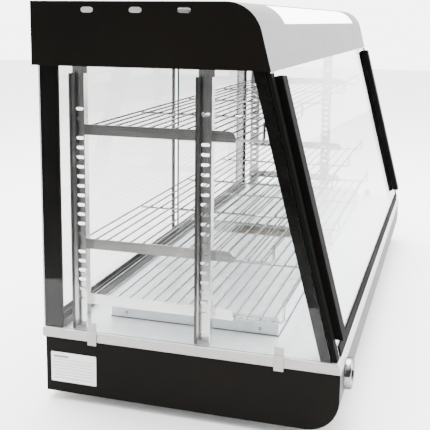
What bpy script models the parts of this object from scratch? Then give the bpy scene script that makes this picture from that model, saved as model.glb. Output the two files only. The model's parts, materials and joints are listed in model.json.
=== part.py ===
"""Countertop hot food display case: a heated, lit glass case with three wire racks and sliding rear doors.

Metres, +Z up. X runs along the counter, the customer's side faces -Y, and the feet stand on Z = 0.
Depths are measured from the front edge of the steel deck and turned into Y by y_at().
"""

import math

import bmesh
import bpy
from mathutils import Matrix, Vector

# Overall sizes
CASE_LENGTH = 1.200
DECK_DEPTH = 0.480
FOOT_HEIGHT = 0.014
BASE_HEIGHT = 0.093
DECK_FLANGE = 0.016
GLASS_HOUSE_HEIGHT = 0.424
CANOPY_HEIGHT = 0.098
CLEARANCE = 0.0003

# Sheet and glass
SHEET = 0.0012
PANEL_SHEET = 0.0015
CAP_SHEET = 0.0012
GLASS = 0.0047
DOOR_GLASS = 0.0040
EDGE_ROUNDING = 0.0005
HOLE_PLAY = 0.0005
CUT_THROUGH = 0.010

# Front slope: the glass leans back by this run for each unit of rise
FRONT_RUN = 0.2609

# Base
DECK_FRONT_TOP = -0.0022
DECK_FRONT_LIP = -0.0054
APRON_PROUD = 0.0044
APRON_RADIUS = 0.050
APRON_RETURN = 0.070
APRON_SIDE = 1.0
PANEL_INSET = 0.0015
PAN_UPSTAND = 0.015
REAR_INSET = 0.0052
FOOT_RADIUS = 0.016
FOOT_TAPER = 0.85
FOOT_RECESS_RADIUS = 0.006
FOOT_RECESS_DEPTH = 0.004
FOOT_INSET_X = 0.075
FOOT_INSET_FRONT = 0.110
FOOT_INSET_REAR = 0.070

# Glass house
POST_WIDTH = 0.025
REAR_POST_WIDTH = 0.0060
REAR_POST_DEPTH = 0.031
REAR_POST_INSET = 0.0026
FRONT_POST_DEPTH = 0.0212
POST_WALL = 0.0015
END_GLASS_FACE = 0.0015
END_GLASS_FRONT = 0.0085
GLASS_IN_CANOPY = 0.010
CLIP_WIDTH = 0.015
CLIP_BELOW = 0.0215
CLIP_ABOVE = 0.0155
CLIP_FRONT_DEPTH = 0.0875
CLIP_REAR_MARGIN = 0.0882
CLIP_STEP = 0.0020
CLIP_STEP_SLANT = 0.0015
CHANNEL_WALL = 0.0013
CHANNEL_RISE = 0.0155
BAR_WIDTH = 0.032
BAR_OVER_POST = 0.0120
BAR_DEPTH = 0.0125
BAR_WALL = 0.0020
BAR_ABOVE_DECK = 0.0300
BAR_BELOW_CANOPY = 0.0080

# Rear doors
TRACK_DEPTH = 0.0340
TRACK_HEIGHT = 0.0120
TRACK_WALL = 0.0018
DOOR_OVERLAP = 0.016
DOOR_STOP = 0.004
HANDLE_HEIGHT = 0.120
HANDLE_WIDTH = 0.016
HANDLE_PROUD = 0.0060
HANDLE_FROM_EDGE = 0.030
HANDLE_ROUNDING = 0.0020
TRACK_FROM_POST = 0.0005
TOP_TRACK_RISE = 0.0160
DOOR_HEADROOM = 0.0030

# Canopy
CANOPY_RADIUS = 0.056
CANOPY_REAR_OVERHANG = 0.0080
CANOPY_PROUD = 0.0018
CANOPY_LIP = 0.009
COVER_SIDE = -1.0
VENT_LENGTH = 0.0210
VENT_HEIGHT = 0.0085
VENT_BELOW_TOP = 0.0130
VENTS_FROM_REAR = (0.249, 0.173, 0.095)
WINDOW_LEFT = 0.180
WINDOW_RIGHT = 0.120
WINDOW_LOW = 0.0330
WINDOW_TOP_RUN = 0.006
WINDOW_LAP = 0.012
WINDOW_SHEET = 0.0025
LAMP_RADIUS = 0.013
LAMP_INSET = 0.070
LAMP_SLOT_WIDTH = 0.060
LAMP_END_GAP = 0.010
LAMP_RISE = 0.0040

# Shelf uprights, arms and racks
UPRIGHT_INSET = 0.0222
UPRIGHT_WEB = 0.0230
UPRIGHT_FLANGE = 0.0130
UPRIGHT_REAR_MARGIN = 0.0754
UPRIGHT_FRONT_DEPTH = 0.1988
UPRIGHT_TAB = 0.0110
TRIM_MARGIN = 0.0020
SLOT_PITCH = 0.01535
SLOT_LENGTH = 0.0138
SLOT_FROM_FRONT = 0.0123
SLOT_HEIGHT = 0.0052
SLOT_BELOW_CANOPY = 0.0673
SLOT_ABOVE_DECK = 0.0430
ARM_HEIGHT = 0.0170
ARM_LEDGE = 0.0110
ARM_HOOK_RISE = 0.0085
ARM_HOOK_REACH = 0.0030
HOOK_PLAY_LENGTH = 0.0032
HOOK_PLAY_HEIGHT = 0.0016
ARM_EAR_WIDTH = 0.0150
ARM_FRONT_DEPTH = 0.1650
ARM_REAR_MARGIN = 0.0250
ARM_LEDGE_MARGIN = 0.0010
ARM_NOSE_RADIUS = 0.0110
RACK_REAR_MARGIN = 0.0010
RACK_GLASS_GAPS = (0.0640, 0.0580, 0.0280)
RACK_WIRE_PITCH = 0.0204
RACK_WIRE = 0.0030
RACK_CROSS_WIRE = 0.0040
RACK_WELD = 0.0004
RACK_BAYS = 4
RACK_UPTURN = 0.0270
RACK_BEND_THINNING = 0.0002
RACK_LEDGE_PLAY = 0.0015

# Heating
HEATER_END_MARGIN = 0.080
HEATER_FRONT = 0.105
HEATER_REAR_MARGIN = 0.088
HEATER_RISE = 0.0310
HEATER_MIDDLE_GAP = 0.086
ELEMENT_RADIUS = 0.0040
ELEMENT_MARGIN = 0.045
ELEMENT_RISE = 0.015
ELEMENT_BEND = 0.012
PAN_SHEET = 0.0010
PAN_SIDE_GAP = 0.005
PAN_FRONT_MARGIN = 0.080
PAN_REAR_MARGIN = 0.070
PAN_HEIGHT = 0.0270

# Controls
THERMOMETER_RADIUS = 0.0245
THERMOMETER_PROUD = 0.0100
THERMOMETER_CAN = 0.0220
THERMOMETER_CAN_SHARE = 0.85
THERMOMETER_INSET = 0.070
THERMOMETER_BELOW_DECK = 0.0006
DIAL_RECESS = 0.0025
BEZEL_SLOPE = 0.0030
KNOB_RADIUS = 0.0200
KNOB_PROUD = 0.0180
KNOB_SHAFT = 0.0040
KNOB_SHAFT_LENGTH = 0.0120
KNOB_SKIRT = 0.0025
KNOB_INSET = 0.220
CONTROL_RISE = 0.052
SWITCH_WIDTH = 0.0150
SWITCH_HEIGHT = 0.0210
SWITCH_PROUD = 0.0030
SWITCH_BODY = 0.0060
SWITCH_FRAME = 0.0010
SWITCH_GAP = 0.0025
SWITCH_TAPER = 0.0030
SWITCH_TILT = math.radians(8.0)
SWITCH_INSETS = (0.130, 0.165)
GLAND_RADIUS = 0.0110
GLAND_PROUD = 0.0200
GLAND_BORE = 0.0042
GLAND_NECK_SHARE = 0.72
GLAND_NECK_LENGTH = 0.0100
GLAND_INSET = 0.060
GLAND_RISE = 0.040
LOUVRE_LENGTH = 0.040
LOUVRE_HEIGHT = 0.0040
LOUVRE_PITCH = 0.0104
LOUVRE_RISE = 0.022
LOUVRE_BANK_INSET = 0.120
LOUVRE_COUNT = 6

# Levels and limits worked out from the sizes above
BASE_Z = FOOT_HEIGHT
FLANGE_Z = BASE_Z + BASE_HEIGHT
DECK_Z = FLANGE_Z + DECK_FLANGE
CANOPY_Z = DECK_Z + GLASS_HOUSE_HEIGHT
TOP_Z = CANOPY_Z + CANOPY_HEIGHT
HALF_LENGTH = CASE_LENGTH / 2
REAR_PANEL_DEPTH = DECK_DEPTH - REAR_INSET
THERMOMETER_RISE = BASE_HEIGHT - THERMOMETER_BELOW_DECK - THERMOMETER_RADIUS
TOP_TRACK_Z = CANOPY_Z + TOP_TRACK_RISE
UPRIGHT_REAR_DEPTH = DECK_DEPTH - UPRIGHT_REAR_MARGIN
CLIP_REAR_DEPTH = DECK_DEPTH - CLIP_REAR_MARGIN
ARM_HOOK_LENGTH = SLOT_LENGTH - HOOK_PLAY_LENGTH
ARM_HOOK_HEIGHT = SLOT_HEIGHT - HOOK_PLAY_HEIGHT
CANOPY_REAR = DECK_DEPTH + CANOPY_REAR_OVERHANG
FOREMOST = -APRON_PROUD - CLEARANCE - THERMOMETER_PROUD
REARMOST = max(CANOPY_REAR, REAR_PANEL_DEPTH + CLEARANCE + max(GLAND_PROUD, KNOB_PROUD))
MIDDLE_DEPTH = (FOREMOST + REARMOST) / 2
POST_GAP = END_GLASS_FACE + GLASS
POST_INNER = POST_GAP + POST_WIDTH
REAR_POST_INNER = POST_GAP + REAR_POST_WIDTH
LEAN_WIDENING = math.sqrt(1 + FRONT_RUN ** 2)
GLASS_RUN = GLASS * LEAN_WIDENING
SIDES = (("left", -1), ("right", 1))

for old in list(bpy.data.objects):
    bpy.data.objects.remove(old, do_unlink=True)

parts = bpy.data.collections.new("hot_food_display_case")
cutters = bpy.data.collections.new("cutting_shapes")
bpy.context.scene.collection.children.link(parts)
bpy.context.scene.collection.children.link(cutters)


def y_at(depth):
    """World Y of a depth measured back from the deck's front edge."""
    return depth - MIDDLE_DEPTH


def x_at(inset, side):
    """World X of a distance measured in from one end of the case."""
    return side * (HALF_LENGTH - inset)


def glass_front(height):
    """Depth of the front glass's outer face at a height."""
    return FRONT_RUN * (height - DECK_Z)


def material(name, colour, roughness, metallic=0.0, transmission=0.0):
    made = bpy.data.materials.new(name)
    made.use_nodes = True
    shader = made.node_tree.nodes["Principled BSDF"]
    shader.inputs["Base Color"].default_value = (*colour, 1.0)
    shader.inputs["Roughness"].default_value = roughness
    shader.inputs["Metallic"].default_value = metallic
    shader.inputs["Transmission Weight"].default_value = transmission
    return made


BLACK_PAINT = material("black_paint", (0.015, 0.015, 0.016), 0.45)
STEEL = material("stainless_steel", (0.62, 0.61, 0.60), 0.28, 1.0)
WIRE = material("bright_wire", (0.70, 0.70, 0.70), 0.15, 1.0)
CLEAR_GLASS = material("clear_glass", (0.90, 0.96, 0.94), 0.02, 0.0, 1.0)
BLACK_PLASTIC = material("black_plastic", (0.02, 0.02, 0.02), 0.5)
RUBBER = material("rubber", (0.03, 0.03, 0.03), 0.85)
WHITE_ACRYLIC = material("white_acrylic", (0.92, 0.92, 0.90), 0.25)
ELEMENT_METAL = material("heater_metal", (0.18, 0.15, 0.13), 0.5, 1.0)


def make_object(name, mesh, finish, location=(0.0, 0.0, 0.0), collection=parts):
    made = bpy.data.objects.new(name, mesh)
    made.location = location
    collection.objects.link(made)
    if finish:
        mesh.materials.append(finish)
    return made


def make_cutter(name, mesh, location=(0.0, 0.0, 0.0)):
    made = make_object(name, mesh, None, location, cutters)
    made.hide_render = True
    made.display_type = "WIRE"
    return made


def box_mesh(name, size):
    shape = bmesh.new()
    bmesh.ops.create_cube(shape, size=1.0)
    bmesh.ops.scale(shape, vec=Vector(size), verts=shape.verts)
    mesh = bpy.data.meshes.new(name)
    shape.to_mesh(mesh)
    shape.free()
    return mesh


def middle_of(low, high):
    return (Vector(low) + Vector(high)) / 2


def size_of(low, high):
    return Vector(high) - Vector(low)


def box(name, low, high, finish):
    return make_object(name, box_mesh(name, size_of(low, high)), finish, middle_of(low, high))


def box_cutter(name, low, high):
    return make_cutter(name, box_mesh(name, size_of(low, high)), middle_of(low, high))


def combine(target, other, operation):
    step = target.modifiers.new(operation.lower(), "BOOLEAN")
    step.operation = operation
    step.solver = "EXACT"
    step.object = other


def cut(target, cutter):
    combine(target, cutter, "DIFFERENCE")


def join(target, other):
    """Union another shape into the target; the other shape is then only a guide."""
    parts.objects.unlink(other)
    cutters.objects.link(other)
    other.hide_render = True
    other.display_type = "WIRE"
    combine(target, other, "UNION")


def meshed(curve_object):
    """Turn a curve object into a mesh object with its caps welded."""
    bpy.context.view_layer.update()
    evaluated = curve_object.evaluated_get(bpy.context.evaluated_depsgraph_get())
    mesh = bpy.data.meshes.new_from_object(evaluated)
    shape = bmesh.new()
    shape.from_mesh(mesh)
    bmesh.ops.remove_doubles(shape, verts=shape.verts, dist=0.000005)
    bmesh.ops.recalc_face_normals(shape, faces=shape.faces)
    shape.to_mesh(mesh)
    shape.free()
    made = bpy.data.objects.new(curve_object.name, mesh)
    made.matrix_world = curve_object.matrix_world
    name = curve_object.name
    for home in list(curve_object.users_collection):
        home.objects.link(made)
    bpy.data.objects.remove(curve_object, do_unlink=True)
    made.name = name
    return made


# Turns a flat outline's own axes: across the case (YZ), along it (XZ) or lying flat (XY)
ACROSS = Matrix(((0, 0, 1), (1, 0, 0), (0, 1, 0))).to_euler()
ALONG = Matrix(((1, 0, 0), (0, 0, -1), (0, 1, 0))).to_euler()
FLAT = Matrix.Identity(3).to_euler()


def outline_solid(name, outlines, turn, centre, thickness, finish, collection=parts):
    """A solid plate from closed outlines, the first one outside and any others holes in it."""
    curve = bpy.data.curves.new(name, "CURVE")
    curve.dimensions = "2D"
    curve.fill_mode = "BOTH"
    curve.extrude = thickness / 2
    for outline in outlines:
        spline = curve.splines.new("POLY")
        spline.points.add(len(outline) - 1)
        for point, (across, up) in zip(spline.points, outline):
            point.co = (across, up, 0.0, 1.0)
        spline.use_cyclic_u = True
    if finish:
        curve.materials.append(finish)
    made = bpy.data.objects.new(name, curve)
    made.rotation_euler = turn
    made.location = centre
    collection.objects.link(made)
    return meshed(made)


def outline_cutter(name, outlines, turn, centre, thickness):
    made = outline_solid(name, outlines, turn, centre, thickness, None, cutters)
    made.hide_render = True
    made.display_type = "WIRE"
    return made


def rectangle(left, low, right, high):
    return [(left, low), (right, low), (right, high), (left, high)]


def stadium(across, up, length, height, steps=3):
    """A slot with round ends, around its centre."""
    radius = height / 2
    reach = length / 2 - radius
    points = []
    for end in (1, -1):
        for step in range(steps + 1):
            angle = math.pi * step / steps - math.pi / 2
            points.append((across + end * (reach + radius * math.cos(angle)),
                           up + end * radius * math.sin(angle)))
    return points


def arc(centre, radius, start, end, steps):
    """Points of an arc, angles in degrees."""
    points = []
    for step in range(steps + 1):
        angle = math.radians(start + (end - start) * step / steps)
        points.append((centre[0] + radius * math.cos(angle), centre[1] + radius * math.sin(angle)))
    return points


def folded_sheet(name, path, direction, low, high, thickness, side, finish):
    """A folded sheet: an open path swept from low to high, thickened to one side of the path."""
    shape = bmesh.new()
    verts = []
    for across, up in path:
        place = (low, y_at(across), up) if direction == "X" else (across, y_at(up), low)
        verts.append(shape.verts.new(place))
    edges = [shape.edges.new(pair) for pair in zip(verts, verts[1:])]
    swept = bmesh.ops.extrude_edge_only(shape, edges=edges)
    moved = [item for item in swept["geom"] if isinstance(item, bmesh.types.BMVert)]
    reach = high - low
    step = Vector((reach, 0, 0)) if direction == "X" else Vector((0, 0, reach))
    bmesh.ops.translate(shape, vec=step, verts=moved)
    mesh = bpy.data.meshes.new(name)
    shape.to_mesh(mesh)
    shape.free()
    made = make_object(name, mesh, finish)
    shell = made.modifiers.new("thickness", "SOLIDIFY")
    shell.thickness = thickness
    shell.offset = side
    shell.use_even_offset = True
    return made


def open_tray(name, low, high, open_face, thickness, finish):
    """A sheet box with one face left out, thickened inwards."""
    shape = bmesh.new()
    bmesh.ops.create_cube(shape, size=1.0)
    bmesh.ops.scale(shape, vec=size_of(low, high), verts=shape.verts)
    missing = [face for face in shape.faces if face.normal.dot(Vector(open_face)) > 0.9]
    bmesh.ops.delete(shape, geom=missing, context="FACES_ONLY")
    mesh = bpy.data.meshes.new(name)
    shape.to_mesh(mesh)
    shape.free()
    made = make_object(name, mesh, finish, middle_of(low, high))
    shell = made.modifiers.new("thickness", "SOLIDIFY")
    shell.thickness = thickness
    shell.offset = -1.0
    shell.use_even_offset = True
    return made


def turned(name, profile, axis_point, facing, finish, steps=32):
    """A turned solid: (radius, distance) pairs from the facing end back, turned about that direction.

    A profile that ends where it starts is a ring, so its last point is the first one again.
    """
    shape = bmesh.new()
    closed = profile[0] == profile[-1]
    verts = [shape.verts.new((radius, 0.0, along)) for radius, along in profile[:-1 if closed else None]]
    for pair in zip(verts, verts[1:] + verts[:1] if closed else verts[1:]):
        shape.edges.new(pair)
    mesh = bpy.data.meshes.new(name)
    shape.to_mesh(mesh)
    shape.free()
    made = make_object(name, mesh, finish, axis_point)
    made.rotation_euler = Vector(facing).to_track_quat("Z", "Y").to_euler()
    spin = made.modifiers.new("turning", "SCREW")
    spin.steps = steps
    spin.render_steps = steps
    spin.use_merge_vertices = True
    spin.merge_threshold = 0.00001
    return made


def round_cutter(name, radius, length, centre, facing, segments=32):
    shape = bmesh.new()
    bmesh.ops.create_cone(shape, cap_ends=True, segments=segments, radius1=radius, radius2=radius,
                          depth=length)
    mesh = bpy.data.meshes.new(name)
    shape.to_mesh(mesh)
    shape.free()
    made = make_cutter(name, mesh, centre)
    made.rotation_euler = Vector(facing).to_track_quat("Z", "Y").to_euler()
    return made


def soften(target, width, segments=1, angle=40.0):
    edge = target.modifiers.new("edges", "BEVEL")
    edge.width = width
    edge.segments = segments
    edge.limit_method = "ANGLE"
    edge.angle_limit = math.radians(angle)


# Feet -----------------------------------------------------------------------------------------------

def make_feet():
    """Turned rubber feet with a shallow recess for their screw."""
    top = FOOT_HEIGHT - CLEARANCE
    profile = [(0.0, top), (FOOT_RADIUS * FOOT_TAPER, top), (FOOT_RADIUS, 0.0), (FOOT_RECESS_RADIUS, 0.0),
               (FOOT_RECESS_RADIUS, FOOT_RECESS_DEPTH), (0.0, FOOT_RECESS_DEPTH)]
    for side_name, side in SIDES:
        for row, depth in (("front", FOOT_INSET_FRONT), ("rear", DECK_DEPTH - FOOT_INSET_REAR)):
            place = (x_at(FOOT_INSET_X, side), y_at(depth), 0.0)
            turned(f"foot_{row}_{side_name}", profile, place, (0, 0, 1), RUBBER, 24)


# Base -----------------------------------------------------------------------------------------------

PANEL_INNER = PANEL_INSET + PANEL_SHEET
WITHIN_PANELS = PANEL_INNER + CLEARANCE
UNDER_DECK = DECK_Z - SHEET - CLEARANCE
BEHIND_LIP = DECK_FRONT_TOP + SHEET * 2 + CLEARANCE


def apron_arc():
    """The rounded lower front corner, from the face down to the underside."""
    centre = (APRON_RADIUS - APRON_PROUD, BASE_Z + APRON_RADIUS)
    return arc(centre, APRON_RADIUS, 180.0, 270.0, 8)


def make_base():
    panel_top = UNDER_DECK
    step_z = FLANGE_Z - CLEARANCE
    outline = [(BEHIND_LIP, panel_top), (BEHIND_LIP, step_z), (-APRON_PROUD, step_z)]
    outline += apron_arc()
    outline += [(REAR_PANEL_DEPTH, BASE_Z), (REAR_PANEL_DEPTH, panel_top)]
    outline = [(y_at(depth), up) for depth, up in outline]
    for side_name, side in SIDES:
        centre = (x_at(PANEL_INSET + PANEL_SHEET / 2, side), 0.0, 0.0)
        outline_solid(f"base_end_panel_{side_name}", [outline], ACROSS, centre, PANEL_SHEET, BLACK_PAINT)

    face = [(APRON_PROUD * 2, step_z), (-APRON_PROUD, step_z)]
    face += apron_arc()
    face += [(APRON_RETURN, BASE_Z)]
    reach = HALF_LENGTH - WITHIN_PANELS
    apron = folded_sheet("front_apron", face, "X", -reach, reach, SHEET, APRON_SIDE, STEEL)
    hole_radius = THERMOMETER_RADIUS * THERMOMETER_CAN_SHARE + HOLE_PLAY
    hole = round_cutter("thermometer_hole", hole_radius, CUT_THROUGH * 2, thermometer_place(), (0, -1, 0))
    cut(apron, hole)

    low = (-reach, y_at(APRON_RETURN + CLEARANCE), BASE_Z)
    high = (reach, y_at(REAR_PANEL_DEPTH - SHEET - CLEARANCE), BASE_Z + PAN_UPSTAND)
    open_tray("base_pan", low, high, (0, 0, 1), SHEET, STEEL)


def thermometer_place():
    return Vector((x_at(THERMOMETER_INSET, -1), y_at(-APRON_PROUD - CLEARANCE), BASE_Z + THERMOMETER_RISE))


def rear_place(inset, side, rise):
    """A point on the rear panel's outer face."""
    return Vector((x_at(inset, side), y_at(REAR_PANEL_DEPTH + CLEARANCE), BASE_Z + rise))


def make_rear_panel():
    """Rear service panel with holes for the controls, the cable gland and two banks of cooling slots."""
    reach = HALF_LENGTH - WITHIN_PANELS
    holes = []
    for side in (-1, 1):
        for row in range(LOUVRE_COUNT):
            up = BASE_Z + LOUVRE_RISE + row * LOUVRE_PITCH
            holes.append(stadium(side * LOUVRE_BANK_INSET, up, LOUVRE_LENGTH, LOUVRE_HEIGHT))
    outline = rectangle(-reach, BASE_Z, reach, UNDER_DECK)
    centre = (0.0, y_at(REAR_PANEL_DEPTH - SHEET / 2), 0.0)
    panel = outline_solid("rear_panel", [outline] + holes, ALONG, centre, SHEET, STEEL)
    for inset in SWITCH_INSETS:
        pivot = rear_place(inset, 1, CONTROL_RISE)
        half = Vector((SWITCH_WIDTH / 2 - SWITCH_FRAME, CUT_THROUGH, SWITCH_HEIGHT / 2 - SWITCH_FRAME))
        cut(panel, box_cutter("switch_hole", pivot - half, pivot + half))
    shaft = rear_place(KNOB_INSET, 1, CONTROL_RISE)
    cut(panel, round_cutter("knob_hole", KNOB_SHAFT + HOLE_PLAY, CUT_THROUGH * 2, shaft, (0, 1, 0), 24))
    gland = rear_place(GLAND_INSET, -1, GLAND_RISE)
    neck = GLAND_RADIUS * GLAND_NECK_SHARE + HOLE_PLAY
    cut(panel, round_cutter("gland_hole", neck, CUT_THROUGH * 2, gland, (0, 1, 0), 24))


def make_deck():
    """The stainless deck: one sheet folded down on all four sides, its front lip on the glass's slope."""
    low = (-HALF_LENGTH, y_at(DECK_FRONT_TOP), FLANGE_Z)
    high = (HALF_LENGTH, y_at(DECK_DEPTH), DECK_Z)
    deck = open_tray("deck_plate", low, high, (0, 0, -1), SHEET, STEEL)
    front = min(vert.co.y for vert in deck.data.vertices)
    for vert in deck.data.vertices:
        if vert.co.y == front and vert.co.z < 0:
            vert.co.y += DECK_FRONT_LIP - DECK_FRONT_TOP


# Heating --------------------------------------------------------------------------------------------

def make_heaters():
    """Two sheet covers over tubular elements, with a water pan standing between them."""
    on_deck = DECK_Z + CLEARANCE
    inner = HEATER_MIDDLE_GAP / 2
    outer = HALF_LENGTH - HEATER_END_MARGIN
    front = y_at(HEATER_FRONT)
    rear = y_at(DECK_DEPTH - HEATER_REAR_MARGIN)
    for side_name, side in SIDES:
        near, far = sorted((side * inner, side * outer))
        cover = open_tray(f"heater_cover_{side_name}", (near, front, on_deck),
                          (far, rear, on_deck + HEATER_RISE), (0, 0, -1), SHEET, STEEL)
        soften(cover, EDGE_ROUNDING * 0.8)
        make_element(f"heating_element_{side_name}", near + ELEMENT_MARGIN, far - ELEMENT_MARGIN,
                     front + ELEMENT_MARGIN, rear - ELEMENT_MARGIN, on_deck)
    half = inner - PAN_SIDE_GAP
    low = (-half, front + PAN_FRONT_MARGIN, on_deck)
    high = (half, rear - PAN_REAR_MARGIN, on_deck + PAN_HEIGHT)
    open_tray("water_pan", low, high, (0, 0, 1), PAN_SHEET, STEEL)


def make_element(name, left, right, front, rear, floor):
    """A hairpin tube: two legs up from the deck, two long runs and a turn at the far end."""
    top = floor + ELEMENT_RISE
    bend = ELEMENT_BEND
    turn = (rear - front) / 2
    route = [(left, front, floor), (left, front, top - bend), (left + bend * 0.3, front, top - bend * 0.3),
             (left + bend, front, top)]
    for step in range(9):
        angle = math.pi * step / 8 - math.pi / 2
        route.append((right - turn + turn * math.cos(angle), (front + rear) / 2 + turn * math.sin(angle),
                      top))
    route += [(left + bend, rear, top), (left + bend * 0.3, rear, top - bend * 0.3), (left, rear, top - bend),
              (left, rear, floor)]
    tube(name, route, ELEMENT_RADIUS, ELEMENT_METAL)


def tube(name, route, radius, finish, resolution=2):
    curve = bpy.data.curves.new(name, "CURVE")
    curve.dimensions = "3D"
    curve.bevel_depth = radius
    curve.bevel_resolution = resolution
    curve.use_fill_caps = True
    spline = curve.splines.new("POLY")
    spline.points.add(len(route) - 1)
    for point, place in zip(spline.points, route):
        point.co = (*place, 1.0)
    curve.materials.append(finish)
    made = bpy.data.objects.new(name, curve)
    parts.objects.link(made)
    return meshed(made)


# Glass house ----------------------------------------------------------------------------------------

HOUSE_LOW = DECK_Z + CLEARANCE
HOUSE_HIGH = CANOPY_Z - CLEARANCE


def slanted(front_gap, depth, low, high):
    """A four-sided outline that follows the front slope, from front_gap behind the glass's face."""
    points = [(glass_front(low) + front_gap, low), (glass_front(low) + front_gap + depth, low),
              (glass_front(high) + front_gap + depth, high), (glass_front(high) + front_gap, high)]
    return [(y_at(across), up) for across, up in points]


def make_posts():
    """Flat-tube rear posts and leaning front posts, both open at their ends."""
    for side_name, side in SIDES:
        middle = x_at(POST_GAP + REAR_POST_WIDTH / 2, side)
        rear = y_at(DECK_DEPTH - REAR_POST_INSET)
        front = rear - REAR_POST_DEPTH
        edges = (middle - REAR_POST_WIDTH / 2, front, middle + REAR_POST_WIDTH / 2, rear)
        inner = (edges[0] + POST_WALL, front + POST_WALL, edges[2] - POST_WALL, rear - POST_WALL)
        centre = (0.0, 0.0, (HOUSE_LOW + HOUSE_HIGH) / 2)
        outline_solid(f"rear_post_{side_name}", [rectangle(*edges), rectangle(*inner)], FLAT, centre,
                      HOUSE_HIGH - HOUSE_LOW, BLACK_PAINT)
        middle = x_at(POST_GAP + POST_WIDTH / 2, side)
        outline = slanted(GLASS_RUN + CLEARANCE, FRONT_POST_DEPTH, HOUSE_LOW, HOUSE_HIGH)
        post = outline_solid(f"front_post_{side_name}", [outline], ACROSS, (middle, 0.0, 0.0), POST_WIDTH,
                             BLACK_PAINT)
        hollow = slanted(GLASS_RUN + CLEARANCE + POST_WALL, FRONT_POST_DEPTH - POST_WALL * 2,
                         HOUSE_LOW - CUT_THROUGH, HOUSE_HIGH + CUT_THROUGH)
        cut(post, outline_cutter(f"front_post_hollow_{side_name}", [hollow], ACROSS, (middle, 0.0, 0.0),
                                 POST_WIDTH - POST_WALL * 2))


def make_glass():
    """Two end panes outside the posts and one front pane standing in the front channel."""
    high = CANOPY_Z + GLASS_IN_CANOPY
    for side_name, side in SIDES:
        rear = DECK_DEPTH - REAR_POST_INSET
        outline = [(glass_front(HOUSE_LOW) + END_GLASS_FRONT, HOUSE_LOW), (rear, HOUSE_LOW),
                   (rear, high), (glass_front(high) + END_GLASS_FRONT, high)]
        outline = [(y_at(across), up) for across, up in outline]
        centre = (x_at(END_GLASS_FACE + GLASS / 2 - CLEARANCE / 2, side), 0.0, 0.0)
        pane = outline_solid(f"end_glass_{side_name}", [outline], ACROSS, centre, GLASS - CLEARANCE,
                             CLEAR_GLASS)
        soften(pane, EDGE_ROUNDING)
    reach = HALF_LENGTH - CAP_SHEET - CLEARANCE * 2
    low = HOUSE_LOW + CHANNEL_WALL + CLEARANCE
    front_high = CANOPY_Z - CLEARANCE * 2
    pane = outline_solid("front_glass", [slanted(0.0, GLASS_RUN, low, front_high)], ACROSS, (0.0, 0.0, 0.0),
                         reach * 2, CLEAR_GLASS)
    soften(pane, EDGE_ROUNDING)


def make_front_channel():
    """The black channel on the deck that the front glass stands in, between the two front posts."""
    low = HOUSE_LOW
    floor = HOUSE_LOW + CHANNEL_WALL
    high = HOUSE_LOW + CHANNEL_RISE
    gap = CLEARANCE
    outline = [(glass_front(low) - gap - CHANNEL_WALL, low),
               (glass_front(low) + GLASS_RUN + gap + CHANNEL_WALL, low),
               (glass_front(high) + GLASS_RUN + gap + CHANNEL_WALL, high),
               (glass_front(high) + GLASS_RUN + gap, high),
               (glass_front(floor) + GLASS_RUN + gap, floor),
               (glass_front(floor) - gap, floor),
               (glass_front(high) - gap, high),
               (glass_front(high) - gap - CHANNEL_WALL, high)]
    outline = [(y_at(across), up) for across, up in outline]
    reach = HALF_LENGTH - POST_INNER - CLEARANCE
    outline_solid("front_channel", [outline], ACROSS, (0.0, 0.0, 0.0), reach * 2, BLACK_PAINT)


def make_front_bars():
    """Black hollow bars that stand proud of the front glass just inside each post."""
    low = HOUSE_LOW + BAR_ABOVE_DECK
    high = CANOPY_Z - BAR_BELOW_CANOPY
    for side_name, side in SIDES:
        middle = x_at(POST_INNER - BAR_OVER_POST + BAR_WIDTH / 2, side)
        outline = slanted(-CLEARANCE - BAR_DEPTH, BAR_DEPTH, low, high)
        bar = outline_solid(f"front_glass_bar_{side_name}", [outline], ACROSS, (middle, 0.0, 0.0), BAR_WIDTH,
                            BLACK_PAINT)
        hollow = slanted(-CLEARANCE - BAR_DEPTH + BAR_WALL, BAR_DEPTH - BAR_WALL * 2,
                         low - CUT_THROUGH, high + CUT_THROUGH)
        cut(bar, outline_cutter(f"bar_hollow_{side_name}", [hollow], ACROSS, (middle, 0.0, 0.0),
                                BAR_WIDTH - BAR_WALL * 2))


def make_clips():
    """Stepped steel clips: the lower leg on the deck's flange, the upper leg over the end pane."""
    for side_name, side in SIDES:
        for row, depth in (("front", CLIP_FRONT_DEPTH), ("rear", CLIP_REAR_DEPTH)):
            outside = HALF_LENGTH + SHEET + CLEARANCE
            step_out = HALF_LENGTH + CLEARANCE
            on_glass = HALF_LENGTH - END_GLASS_FACE + CLEARANCE * 2
            inner_step = DECK_Z + CLIP_STEP
            outer_step = inner_step + SHEET
            outline = [(step_out, DECK_Z - CLIP_BELOW), (outside, DECK_Z - CLIP_BELOW),
                       (outside, outer_step), (on_glass + SHEET, outer_step + CLIP_STEP_SLANT),
                       (on_glass + SHEET, DECK_Z + CLIP_ABOVE), (on_glass, DECK_Z + CLIP_ABOVE),
                       (on_glass, inner_step + CLIP_STEP_SLANT), (step_out, inner_step)]
            outline = [(side * across, up) for across, up in outline]
            outline_solid(f"glass_clip_{row}_{side_name}", [outline], ALONG, (0.0, y_at(depth), 0.0),
                          CLIP_WIDTH, STEEL)


# Rear doors -----------------------------------------------------------------------------------------

def track_depths():
    """Depths of the front edge of the track and of its two grooves' middles."""
    rear = DECK_DEPTH - REAR_POST_INSET - TRACK_FROM_POST
    front = rear - TRACK_DEPTH
    groove = (TRACK_DEPTH - TRACK_WALL * 3) / 2
    inner_groove = front + TRACK_WALL + groove / 2
    outer_groove = rear - TRACK_WALL - groove / 2
    return front, rear, inner_groove, outer_groove


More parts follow.
